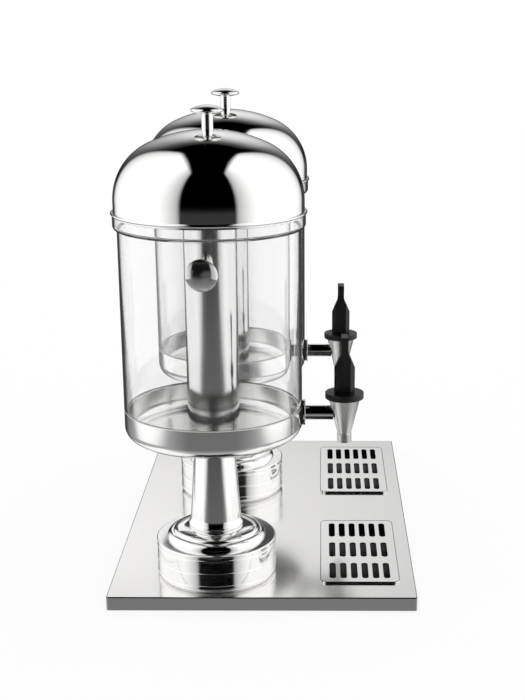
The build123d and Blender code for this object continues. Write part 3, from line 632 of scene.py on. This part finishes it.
# %% [markdown]
# ## Pedestals
#
# From the base up: a drum with three fine turned grooves, a cap with a rounded
# ring and a low dome, and a tapered column that flares to a beaded foot.

# %% Drum section
rod_hole = 5.1
drum_radius, drum_wall, drum_top = 71.0, 4.0, base_top + 47.2
groove_round, groove_depth = 1.8, 0.4
groove_heights = (9.3, 24.8, 41.0)
drum_edge, drum_foot_edge = 1.6, 6.5
half_turn = degrees(asin(sqrt(groove_round ** 2 - (groove_round - groove_depth) ** 2) / groove_round))

drum_loop = [(drum_radius - drum_wall, base_top)]
drum_loop += arc((drum_radius - drum_foot_edge, base_top + drum_foot_edge), drum_foot_edge, -90, 0, 8)
for height in groove_heights:
    centre = (drum_radius - groove_depth + groove_round, base_top + height)
    drum_loop += arc(centre, groove_round, 180 + half_turn, 180 - half_turn, 8)
drum_loop += arc((drum_radius - drum_edge, drum_top - drum_edge), drum_edge, 0, 90, 6)
drum_loop += [(rod_hole, drum_top), (rod_hole, drum_top - drum_wall),
              (drum_radius - drum_wall, drum_top - drum_wall)]
print("drum with", len(groove_heights), "grooves, each", round(half_turn, 1), "degrees of its round to each side")

# %% Caps and columns
cap_radius, cap_round, cap_sheet = 58.6, 8.0, 1.5
dome_foot, dome_rise = 29.8, 6.2
cap_top = drum_top + cap_round
foot_z = cap_top + dome_rise
ridge = (cap_radius - cap_round, drum_top)
dome_reach = ridge[0] - dome_foot
turns = [radians(t) for t in range(0, 91, 5)]
dome = [(dome_foot + dome_reach * cos(t), cap_top + dome_rise * sin(t)) for t in turns]
dome_under = [(dome_foot + (r - dome_foot) * (1 - cap_sheet / dome_reach), z - cap_sheet) for r, z in dome]
cap_loop = arc(ridge, cap_round, 0, 90, 24) + dome[1:]
cap_loop += [(rod_hole, foot_z), (rod_hole, foot_z - cap_sheet)] + dome_under[::-1]
cap_loop += arc(ridge, cap_round - cap_sheet, 90, 0, 12)

column_foot, column_neck, column_base, column_head, column_wall = 32.3, 31.5, 29.8, 22.6, 1.5
cup_bottom = base_top + 174.0
bead_height, flare_height = 5.0, 6.0
foot_top = foot_z + bead_height
flare_top = foot_top + flare_height
taper = (column_base - column_head) / (cup_bottom - flare_top)
flare_in = (column_neck - column_base - flare_height * taper) / 4
flare_middle = (column_base + flare_height / 2 * taper + flare_in, foot_top + flare_height / 2)
bead_middle = (column_foot, foot_z + bead_height / 2)
column_loop = arc_through((column_neck, foot_z), bead_middle, (column_neck, foot_top), 12)
column_loop += arc_through((column_neck, foot_top), flare_middle, (column_base, flare_top), 10)[1:]
column_loop += [(column_head, cup_bottom), (rod_hole, cup_bottom), (rod_hole, cup_bottom - column_wall),
                (column_head - column_wall, cup_bottom - column_wall), (column_base - column_wall, flare_top),
                (column_base - column_wall, foot_z)]

turned_on_stand([
    ("foot_drum", drum_loop, drum_steel, "polished_steel"), ("foot_cap", cap_loop, mirror_steel, "polished_steel"),
    ("column", column_loop, column_steel, "polished_steel")])
print("pedestals turned, cup bottoms at", cup_bottom, "mm")

# %% [markdown]
# ## Cup, floor pan and tank
#
# The tank stands on a steel cup. Inside the cup hangs a pan with a round bottom
# edge, whose flange lies on the cup's rim, and a thin silicone ring beds the
# tank on it. The tank's wall is 3 mm thick and steps out to a collar, where the
# lid sits.

# %% Cup, pan, seal and tank sections
tank_radius, tank_wall = 103.0, 3.0
tank_inside = tank_radius - tank_wall
cup_wall, cup_round, cup_rim = 1.5, 14.0, cup_bottom + 33.6
pan_sheet, pan_round, pan_top = 1.2, 12.0, cup_rim + 1.2
pan_radius = tank_radius - 4.5
pan_inside = pan_radius - pan_sheet
pan_floor = pan_top - 29.8
boss_radius, boss_top = 28.7, pan_floor + 4.0
tank_bottom = pan_top + 0.8
tank_top = tank_bottom + 223.2
collar_step = 4.7
collar_radius = tank_radius + collar_step
collar_inside = collar_radius - tank_wall
step_z = tank_top - 11.6

cup_bend = (tank_radius - cup_round, cup_bottom + cup_round)
cup_loop = [(rod_hole, cup_bottom)] + arc(cup_bend, cup_round, -90, 0, 24)
cup_loop += [(tank_radius, cup_rim), (tank_radius - cup_wall, cup_rim)]
cup_loop += arc(cup_bend, cup_round - cup_wall, 0, -90, 12) + [(rod_hole, cup_bottom + cup_wall)]

pan_bend = (pan_inside - pan_round, pan_floor + pan_round)
pan_loop = [(rod_hole, boss_top), (boss_radius, boss_top), (boss_radius, pan_floor)]
pan_loop += arc(pan_bend, pan_round, -90, 0, 16)
pan_loop += [(pan_inside, pan_top - sheet_edge), (pan_inside + sheet_edge, pan_top),
             (tank_radius - sheet_edge, pan_top), (tank_radius, pan_top - sheet_edge), (tank_radius, cup_rim),
             (pan_radius, cup_rim)]
pan_loop += arc(pan_bend, pan_round + pan_sheet, 0, -90, 12)
pan_loop += [(boss_radius - pan_sheet, pan_floor - pan_sheet), (boss_radius - pan_sheet, boss_top - pan_sheet),
             (rod_hole, boss_top - pan_sheet)]

seal_loop = [(tank_inside, pan_top), (tank_radius, pan_top),
             (tank_radius, tank_bottom), (tank_inside, tank_bottom)]

tank_loop = [(tank_inside, tank_bottom), (tank_radius, tank_bottom)]
tank_loop += arc((tank_radius, step_z), collar_step, -90, 0, 12)
tank_loop += [(collar_radius, tank_top - sheet_edge), (collar_radius - sheet_edge, tank_top),
              (collar_inside + sheet_edge, tank_top), (collar_inside, tank_top - sheet_edge)]
tank_loop += arc((tank_radius, step_z), collar_step - tank_wall, 0, -90, 8)
seat, seat_edge = step_z - collar_step + tank_wall, 0.5
tank_loop += [(tank_inside + seat_edge, seat), (tank_inside, seat - seat_edge)]

turned_on_stand([
    ("cup", cup_loop, cup_steel, "polished_steel"), ("floor_pan", pan_loop, pan_steel, "polished_steel"),
    ("tank_seal", seal_loop, silicone, "silicone"), ("tank", tank_loop, tank_plastic, "clear_plastic")], steps=192)
print("tanks from", tank_bottom, "to", tank_top, "mm")

# %% [markdown]
# ## Lids and knobs
#
# The lid is a spun dome: a crown arc that runs into a tighter shoulder arc, a
# short skirt, a thin rolled bead that lies on the tank's collar, and a lip
# inside. A mushroom knob is screwed on top. The same knob sits on the side of
# the ice tube, as a grip to lift it by.

# %% Lids
lid_radius, lid_sheet = collar_inside + 1.7, 1.0
shoulder_radius, crown_radius = 0.6423 * lid_radius, 1.4888 * lid_radius
shoulder = (lid_radius - shoulder_radius, tank_top + 14.6)
lean = asin((lid_radius - shoulder_radius) / (crown_radius - shoulder_radius))
crown_z = shoulder[1] - (crown_radius - shoulder_radius) * cos(lean)
crown_top = crown_z + crown_radius
turn = 90 - degrees(lean)
lip, lip_foot = collar_inside - 0.3, tank_top - 2.5
bead_radius, bead_reach, bead_fillet = 1.5, 3.0, 0.4
bead_axis = (lid_radius + bead_reach - bead_radius, tank_top + bead_radius)
bead_top = bead_axis[1] + bead_radius
screw_hole = 2.6
hole_turn = 90 - degrees(asin(screw_hole / crown_radius))

lid_loop = [(lip - lid_sheet, tank_top + lid_sheet), (lip - lid_sheet, lip_foot + sheet_edge),
            (lip - lid_sheet + sheet_edge, lip_foot), (lip - sheet_edge, lip_foot), (lip, lip_foot + sheet_edge),
            (lip, tank_top)]
lid_loop += arc(bead_axis, bead_radius, -90, 90, 16)
lid_loop += [(lid_radius + bead_fillet, bead_top), (lid_radius, bead_top + bead_fillet)]
lid_loop += arc(shoulder, shoulder_radius, 0, turn, 40)
lid_loop += arc((0, crown_z), crown_radius, turn, hole_turn, 28)[1:]
lid_loop += arc((0, crown_z), crown_radius - lid_sheet, hole_turn, turn, 14)
lid_loop += arc(shoulder, shoulder_radius - lid_sheet, turn, 0, 20)[1:]
lid_loop += [(lid_radius - lid_sheet, tank_top + lid_sheet)]

for side, x in stations.items():
    axis = Matrix.Translation((x, tank_y, 0))
    piece = turned_piece(f"{side}_lid_skin", lid_loop, axis, mirror_steel, steps=224)
    stands_for(piece, f"{side}_lid_dome", f"{side}_lid")
print("lid crown at", round(crown_top, 2), "mm")

# %% Knobs
knob_radius, knob_height, stem_radius = 18.2, 26.4, 6.4
rim_radius = knob_radius - 1.2
rim_z = knob_height - 4.1
edge_z = rim_z - 3.6
under_z = edge_z - 2.1
top_radius = (rim_radius ** 2 + (knob_height - rim_z) ** 2) / (2 * (knob_height - rim_z))
top_turn = degrees(asin(rim_radius / top_radius))
under_middle = ((rim_radius + stem_radius) / 2 + 0.1, (edge_z + under_z) / 2 - 0.4)
rim_middle = (knob_radius, (edge_z + rim_z) / 2)


def knob_loop(sink):
    """Section of the knob, whose foot sinks by that depth into what carries it."""
    loop = [(0, -sink), (stem_radius, -sink), (stem_radius, under_z - sheet_edge)]
    loop += arc_through((stem_radius + sheet_edge, under_z), under_middle, (rim_radius, edge_z), 12)
    loop += arc_through((rim_radius, edge_z), rim_middle, (rim_radius, rim_z), 12)[1:]
    return loop + arc((0, knob_height - top_radius), top_radius, 90 - top_turn, 90, 24)[1:]


tube_radius, tube_wall = 30.0, 1.0
knob_on_tube = tank_top - 61.0
knob_turn = radians(-6.8)
lid_sink, tube_sink = 0.1, 0.6
for side, x in stations.items():
    axis = Matrix.Translation((x, tank_y, crown_top))
    piece = turned_piece(f"{side}_lid_knob_skin", knob_loop(lid_sink), axis, mirror_steel, steps=96)
    stands_for(piece, f"{side}_lid_knob", f"{side}_lid")
    outward = (Matrix.Translation((x, tank_y, knob_on_tube)) @ Matrix.Rotation(knob_turn, 4, "Z")
               @ Matrix.Rotation(radians(-90), 4, "Y") @ Matrix.Translation((0, 0, tube_radius)))
    piece = turned_piece(f"{side}_tube_knob_skin", knob_loop(tube_sink), outward, knob_steel, steps=96)
    stands_for(piece, f"{side}_tube_knob", f"{side}_ice_tube")
print("knob tops at", round(crown_top + knob_height, 2), "mm")

# %% [markdown]
# ## Ice tubes
#
# A tube that holds ice stands in the middle of each tank. It is open at the
# top, closed by a disc near its foot, and slips over the boss of the pan.

# %% Ice tubes
tube_top = tank_top + 21.0
tube_disc = pan_floor + 22.0
tube_bore = tube_radius - tube_wall
tube_loop = [(tube_bore, pan_floor), (tube_radius, pan_floor), (tube_radius, tube_top - sheet_edge)]
tube_loop += [(tube_radius - sheet_edge, tube_top), (tube_bore + sheet_edge, tube_top),
              (tube_bore, tube_top - sheet_edge), (tube_bore, tube_disc + tube_wall),
              (0, tube_disc + tube_wall), (0, tube_disc), (tube_bore, tube_disc)]
for side, x in stations.items():
    axis = Matrix.Translation((x, tank_y, 0))
    piece = turned_piece(f"{side}_ice_tube_skin", tube_loop, axis, tube_steel, steps=128)
    stands_for(piece, f"{side}_ice_tube", f"{side}_ice_tube")
print("tubes reach", tube_top, "mm")

# %% [markdown]
# ## Taps
#
# Each tap is a steel cone with a spout below and a shank that runs back to the
# cup. A flange and a rubber ring close it against the cup's wall. The black
# bonnet screws into the cone's mouth.

# %% Taps
shank_z, shank_radius, shank_bore, spigot_radius = pan_floor + 21.0, 8.5, 4.5, 6.2
spout_end, spout_radius, spout_bore = shank_z - 35.2, 8.5, 5.0
cone_bottom, cone_base = spout_end + 10.3, 8.0
cone_top, cone_head = shank_z + 17.8, 18.4
ledge, ledge_radius = cone_bottom + 4.9, 7.7
mouth, mouth_depth = 15.0, 6.5
bonnet_top, bonnet_radius, bonnet_round = cone_top + 7.1, 22.4, 0.7
bonnet_bore, bonnet_depth, play = 2.8, 6.0, 0.1
flange_radius, flange_thick = 15.0, 2.4
outer_seal, inner_seal, tap_nut, spare_thread = 1.5, 1.5, 5.0, 1.0
flange_face = tap_reach - tank_radius - outer_seal - flange_thick
flange_back = flange_face + flange_thick
flange_edge = flange_thick / 3
shank_start = 13.0
spigot_end = tap_reach - pan_inside + inner_seal + tap_nut + spare_thread

cone_loop = [(spout_bore, spout_end + sheet_edge), (spout_bore + sheet_edge, spout_end),
             (spout_radius - sheet_edge, spout_end), (spout_radius, spout_end + sheet_edge),
             (spout_radius, cone_bottom - sheet_edge), (spout_radius - sheet_edge, cone_bottom),
             (cone_base + 0.05, cone_bottom + 0.2), (cone_head - 0.15, cone_top - 0.6),
             (cone_head - 0.4, cone_top), (mouth, cone_top), (mouth, cone_top - mouth_depth),
             (ledge_radius, ledge), (spout_bore, ledge)]
shank_loop = [(shank_bore, shank_start), (shank_radius, shank_start),
              (shank_radius, flange_face), (shank_bore, flange_face)]
spigot_loop = [(shank_bore, flange_face), (spigot_radius, flange_face),
               (spigot_radius, spigot_end), (shank_bore, spigot_end)]
flange_loop = [(spigot_radius + play, flange_face)]
flange_loop += arc((flange_radius - flange_edge, flange_face + flange_edge), flange_edge, -90, 0, 6)
flange_loop += [(flange_radius, flange_back), (spigot_radius + play, flange_back)]
bonnet_loop = [(bonnet_bore, cone_top - bonnet_depth), (mouth - play, cone_top - bonnet_depth),
               (mouth - play, cone_top)]
bonnet_loop += arc((bonnet_radius - bonnet_round, cone_top + bonnet_round), bonnet_round, -90, 0, 6)
bonnet_loop += arc((bonnet_radius - bonnet_round, bonnet_top - bonnet_round), bonnet_round, 0, 90, 6)
bonnet_loop += [(bonnet_bore, bonnet_top)]

for side, x in stations.items():
    upright = Matrix.Translation((x, tap_y, 0))
    backward = Matrix.Translation((x, tap_y, shank_z)) @ Matrix.Rotation(radians(-90), 4, "X")
    cone = turned_piece(f"{side}_tap_body_skin", cone_loop, upright, tap_steel, steps=96)
    for extra in (shank_loop, spigot_loop):
        pipe = turned_piece(f"{side}_pipe", extra, backward, mirror_steel, steps=64)
        with bpy.context.temp_override(active_object=cone, selected_editable_objects=[cone, pipe]):
            bpy.ops.object.join()
    stands_for(cone, f"{side}_tap_body", "stand")
    flange = turned_piece(f"{side}_tap_flange_skin", flange_loop, backward, mirror_steel, steps=96)
    stands_for(flange, f"{side}_tap_flange", "stand")
    bonnet = turned_piece(f"{side}_tap_bonnet_skin", bonnet_loop, upright, black_nylon, steps=96)
    stands_for(bonnet, f"{side}_tap_bonnet", "stand")
print("spouts end", round(spout_end - base_top, 1), "mm above the base")

# %% [markdown]
# ## Handles
#
# The handle is a moulded block with a waisted blade. Its solid already has the
# right planes. A copy of it is merged into one mesh, its flat faces are joined
# again, and a small bevel rounds its edges, as a mould does. Normals weighted by
# face area keep the flat faces flat beside the round edges.

# %% Handles
mould_round = 0.7


def rounded_edges(piece, width_mm):
    """Bevels a piece's edges, weights its normals by face area and makes the result its plain mesh."""
    bevel = piece.modifiers.new("moulded edges", "BEVEL")
    bevel.width = width_mm * mm
    bevel.segments = 3
    bevel.limit_method = "ANGLE"
    bevel.angle_limit = radians(25)
    flat = piece.modifiers.new("flat faces", "WEIGHTED_NORMAL")
    flat.keep_sharp = False
    flat.weight = 100
    evaluated = piece.evaluated_get(bpy.context.evaluated_depsgraph_get())
    mesh = bpy.data.meshes.new_from_object(evaluated)
    piece.modifiers.clear()
    piece.data = mesh


def merged_copy(node, name, material):
    """A copy of a flat-sided solid, merged into one mesh with whole flat faces."""
    shape = bmesh.new()
    shape.from_mesh(nodes[node].data)
    bmesh.ops.remove_doubles(shape, verts=shape.verts, dist=1e-6)
    bmesh.ops.dissolve_limit(shape, angle_limit=radians(1), verts=shape.verts, edges=shape.edges)
    return finished(name, shape, material, sharp=180)


for side in stations:
    piece = merged_copy(f"{side}_tap_handle", f"{side}_tap_handle_skin", black_nylon)
    rounded_edges(piece, mould_round)
    stands_for(piece, f"{side}_tap_handle", f"{side}_handle")
    print(piece.name, "has", len(piece.data.polygons), "faces")

# %% [markdown]
# ## Base plate and drip grilles
#
# These are flat sheets with holes that repeat: the plate has two openings for
# the drip trays and two holes for the tie rods, and a grille has rows of slots.
# Geometry Nodes make them: the outline and the rows of hole outlines are filled
# as one flat face with holes, and the face is pushed up to the sheet's
# thickness. A grille also has a narrow ring under its edge, its folded rim.

# %% Node helpers for sheets
corner_steps = 10


def sheet_tree(name, lengths, counts):
    """A geometry node tree with named inputs for lengths in metres, counts and a finish."""
    tree = bpy.data.node_groups.new(name, "GeometryNodeTree")
    tree.interface.new_socket("Geometry", in_out="OUTPUT", socket_type="NodeSocketGeometry")
    for kind, names in (("Float", lengths), ("Int", counts), ("Material", ["Finish"])):
        for title in names:
            tree.interface.new_socket(title, in_out="INPUT", socket_type=f"NodeSocket{kind}")
    return tree, add(tree, "NodeGroupInput").outputs


def rounded(tree, width, height, corner):
    """A rectangle with round corners, as a curve."""
    outline = add(tree, "GeometryNodeCurvePrimitiveQuadrilateral", {"Width": width, "Height": height})
    return add(tree, "GeometryNodeFilletCurve", {
        "Curve": outline, "Radius": corner, "Limit Radius": True, "Count": corner_steps}, mode="POLY")


def in_grid(tree, hole, counts, pitches, shift=(0.0, 0.0, 0.0)):
    """Repeats a hole's outline in a grid whose middle is moved by the shift vector."""
    sizes = []
    for count, pitch in zip(counts, pitches):
        gaps = add(tree, "ShaderNodeMath", (count, 1.0), operation="SUBTRACT")
        sizes.append(add(tree, "ShaderNodeMath", (pitch, gaps), operation="MULTIPLY"))
    grid = add(tree, "GeometryNodeMeshGrid", {
        "Size X": sizes[0], "Size Y": sizes[1], "Vertices X": counts[0], "Vertices Y": counts[1]})
    placed = add(tree, "GeometryNodeTransform", {"Geometry": grid, "Translation": shift})
    copies = add(tree, "GeometryNodeInstanceOnPoints", {"Points": placed, "Instance": hole})
    return add(tree, "GeometryNodeRealizeInstances", {0: copies})


def raised(tree, outlines, height, drop=0.0):
    """Fills outlines as one flat face with holes, pushes it up by height and lowers it by drop."""
    curves = add(tree, "GeometryNodeJoinGeometry", {0: outlines})
    flat = add(tree, "GeometryNodeFillCurve", {"Curve": curves}, mode="NGONS")
    upper = add(tree, "GeometryNodeExtrudeMesh", {"Mesh": flat, "Offset Scale": height})
    lower = add(tree, "GeometryNodeFlipFaces", {0: flat})
    shell = add(tree, "GeometryNodeJoinGeometry", {0: [upper, lower]})
    closed = add(tree, "GeometryNodeMergeByDistance", {"Geometry": shell, "Distance": 1e-6})
    down = add(tree, "ShaderNodeMath", (drop, -1.0), operation="MULTIPLY")
    shift = add(tree, "ShaderNodeCombineXYZ", {"Z": down})
    return add(tree, "GeometryNodeTransform", {"Geometry": closed, "Translation": shift})


def coated(tree, geometry, finish):
    """Ends a tree: makes the geometry real and gives it the finish."""
    real = add(tree, "GeometryNodeRealizeInstances", {0: geometry})
    done = add(tree, "GeometryNodeSetMaterial", {"Geometry": real, "Material": finish})
    add(tree, "NodeGroupOutput", {0: done})
    print(tree.name, "tree has", len(tree.nodes), "nodes")


print("sheet helpers ready")

# %% Base plate tree
plate_sizes = {
    "Length": 0.568, "Width": 0.36, "Corner": 0.0025, "Sheet": 0.0015, "Tray length": 0.1772, "Tray width": 0.0788,
    "Tray corner": 0.0065, "Tray pitch": 0.299, "Tray shift": -0.115, "Rod hole": rod_hole * mm,
    "Rod pitch": tank_pitch * mm, "Rod shift along": (left_x + tank_pitch / 2 - base_x) * mm,
    "Rod shift": tank_y * mm}
plate_tree, given = sheet_tree("pierced base plate", plate_sizes, ["Columns", "Rows"])
cells = (given["Columns"], given["Rows"])
outline = rounded(plate_tree, given["Length"], given["Width"], given["Corner"])
opening = rounded(plate_tree, given["Tray length"], given["Tray width"], given["Tray corner"])
shift = add(plate_tree, "ShaderNodeCombineXYZ", {"Y": given["Tray shift"]})
openings = in_grid(plate_tree, opening, cells, (given["Tray pitch"], 0.0), shift)
bore = add(plate_tree, "GeometryNodeCurvePrimitiveCircle", {"Radius": given["Rod hole"], "Resolution": 48})
shift = add(plate_tree, "ShaderNodeCombineXYZ", {"X": given["Rod shift along"], "Y": given["Rod shift"]})
bores = in_grid(plate_tree, bore, cells, (given["Rod pitch"], 0.0), shift)
coated(plate_tree, raised(plate_tree, [outline, openings, bores], given["Sheet"]), given["Finish"])

# %% Grille tree
grille_sizes = {
    "Length": 0.193, "Width": 0.0946, "Corner": 0.009, "Sheet": 0.0017, "Rim height": 0.0005, "Rim width": 0.0012,
    "Slot length": 0.0447, "Slot width": 0.0079, "Pitch along": 0.0634, "Pitch across": 0.01295}
grille_tree, given = sheet_tree("slotted grille", grille_sizes, ["Slots along", "Slots across"])
cells = (given["Slots along"], given["Slots across"])
outline = rounded(grille_tree, given["Length"], given["Width"], given["Corner"])
slot_end = add(grille_tree, "ShaderNodeMath", (given["Slot width"], 0.5), operation="MULTIPLY")
slot = rounded(grille_tree, given["Slot length"], given["Slot width"], slot_end)
slots = in_grid(grille_tree, slot, cells, (given["Pitch along"], given["Pitch across"]))
both_rims = add(grille_tree, "ShaderNodeMath", (given["Rim width"], 2.0), operation="MULTIPLY")
inner = rounded(grille_tree, *(
    add(grille_tree, "ShaderNodeMath", (given[size], less), operation="SUBTRACT")
    for size, less in (("Length", both_rims), ("Width", both_rims), ("Corner", given["Rim width"]))))
top_plate = raised(grille_tree, [outline, slots], given["Sheet"])
folded_rim = raised(grille_tree, [outline, inner], given["Rim height"], given["Rim height"])
whole = add(grille_tree, "GeometryNodeJoinGeometry", {0: [top_plate, folded_rim]})
coated(grille_tree, whole, given["Finish"])

# %% [markdown]
# A tree is run once for each sheet. Its result is made a plain mesh, and its
# outer wall is cut into levels that follow a section. The plate's edge is rolled
# along a quarter circle, as folding does it, and a grille has a low bead pressed
# up along its edge. The holes keep the punch's sharp edge.

# %% Plate and grilles
def off_edge(point, values):
    """The direction out of a sheet at a point on its outline, or nothing inside it."""
    corner = values["Corner"]
    lean = Vector((
        copysign(max(abs(point.x) - values["Length"] / 2 + corner, 0.0), point.x),
        copysign(max(abs(point.y) - values["Width"] / 2 + corner, 0.0), point.y), 0.0))
    return lean / corner if abs(lean.length - corner) < 1e-6 else None


def form_edge(shape, values, section):
    """Forms the outer wall of a sheet along a section: steps inwards and up from the sheet's top, in mm."""
    walls = [
        edge for edge in shape.edges
        if (edge.verts[0].co - edge.verts[1].co).xy.length < 1e-7
        and min(v.co.z for v in edge.verts) > -1e-7 and off_edge(edge.verts[0].co, values)]
    bmesh.ops.subdivide_edges(shape, edges=walls, cuts=len(section) - 1)
    for vert in shape.verts:
        out, level = off_edge(vert.co, values), round(vert.co.z / values["Sheet"] * len(section))
        if out and level > 0:
            inwards, up = section[level - 1]
            vert.co -= out * inwards * mm
            vert.co.z = values["Sheet"] + up * mm


def sheet_piece(name, tree, values, place, section):
    """Runs a sheet's tree, forms the result's edge and puts it at a place in mm."""
    blank = bpy.data.objects.new("sheet_blank", bpy.data.meshes.new("sheet_blank"))
    bpy.context.scene.collection.objects.link(blank)
    modifier = blank.modifiers.new("sheet", "NODES")
    modifier.node_group = tree
    for item in tree.interface.items_tree:
        if item.in_out == "INPUT":
            modifier[item.identifier] = values[item.name]
    evaluated = blank.evaluated_get(bpy.context.evaluated_depsgraph_get())
    mesh = bpy.data.meshes.new_from_object(evaluated)
    bpy.data.objects.remove(blank)
    shape = bmesh.new()
    shape.from_mesh(mesh)
    bmesh.ops.remove_doubles(shape, verts=shape.verts, dist=1e-6)
    form_edge(shape, values, section)
    bmesh.ops.translate(shape, verts=shape.verts, vec=Vector(place) * mm)
    piece = finished(name, shape, values["Finish"], sharp=30)
    # the flat top is shaded apart from the formed edge
    top = place[2] * mm + values["Sheet"]
    for edge in piece.data.edges:
        if all(abs(piece.data.vertices[i].co.z - top) < 1e-6 for i in edge.vertices):
            edge.use_edge_sharp = True
    print(piece.name, "has", len(piece.data.polygons), "faces")
    return piece


plate_values = {**plate_sizes, "Columns": 2, "Rows": 1, "Finish": base_steel}
plate_sheet, roll = 1.5, 1.2
turns = [radians(a) for a in range(0, 151, 15)]
rolled = [(roll - roll * cos(a), roll * sin(a) - roll) for a in turns if a < radians(91)]
plate = sheet_piece("base_plate_skin", plate_tree, plate_values, (base_x, 0.0, base_top - plate_sheet), rolled)
stands_for(plate, "base_plate", "stand")
grille_values = {**grille_sizes, "Slots along": 3, "Slots across": 6, "Finish": grille_steel}
bead_round, bead_drop, bead_width = 0.55, 0.25, 1.05
bead = [(bead_round - bead_round * cos(a), bead_round * sin(a) - bead_drop) for a in turns] + [(bead_width, 0.0)]
half_pitch, grille_y, grille_z = 149.5, -115.0, base_top + 0.8
for side, x in (("left", base_x - half_pitch), ("right", base_x + half_pitch)):
    grille = sheet_piece(f"{side}_drip_grille_skin", grille_tree, grille_values, (x, grille_y, grille_z), bead)
    stands_for(grille, f"{side}_drip_grille", f"{side}_grille")

# %% [markdown]
# ## Valve springs
#
# Inside each tap a spring presses the valve down on its seat. Its upper end
# stays with the tap and its lower end goes up with the valve, so a merged copy
# of the solid is blended from one body to the other and shortens like a spring.

# %% Valve springs
for side in stations:
    shape = bmesh.new()
    shape.from_mesh(nodes[f"{side}_valve_spring"].data)
    bmesh.ops.remove_doubles(shape, verts=shape.verts, dist=1e-6)
    coil = finished(f"{side}_valve_spring_skin", shape, machined_steel)
    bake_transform(coil)
    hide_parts(f"{side}_valve_spring")

# %% [markdown]
# ## The other solids
#
# The base's shell, the trays, the pads and the hardware inside keep their solids
# and only get their finishes.

# %% Finishes of the kept solids
kept = {name: machined_steel for name in (
    "tie_rods", "tie_rod_nuts", "tie_rod_washers", "cup_spacers", "tap_nuts")}
kept.update({"base_shell": base_steel, "rubber_pads": rubber})
for side in stations:
    for part, material in (
            ("drip_tray", tray_nylon), ("lid_knob_screw", machined_steel), ("tube_knob_screw", machined_steel),
            ("tap_outer_seal", rubber), ("tap_inner_seal", silicone), ("handle_pin", machined_steel),
            ("valve_stem", machined_steel), ("valve_seat", silicone)):
        kept[f"{side}_{part}"] = material
for name, material in kept.items():
    slots_of_node = nodes[name].data.materials
    slots_of_node.clear()
    slots_of_node.append(material)
print(len(kept), "solids keep their shape and get a finish")
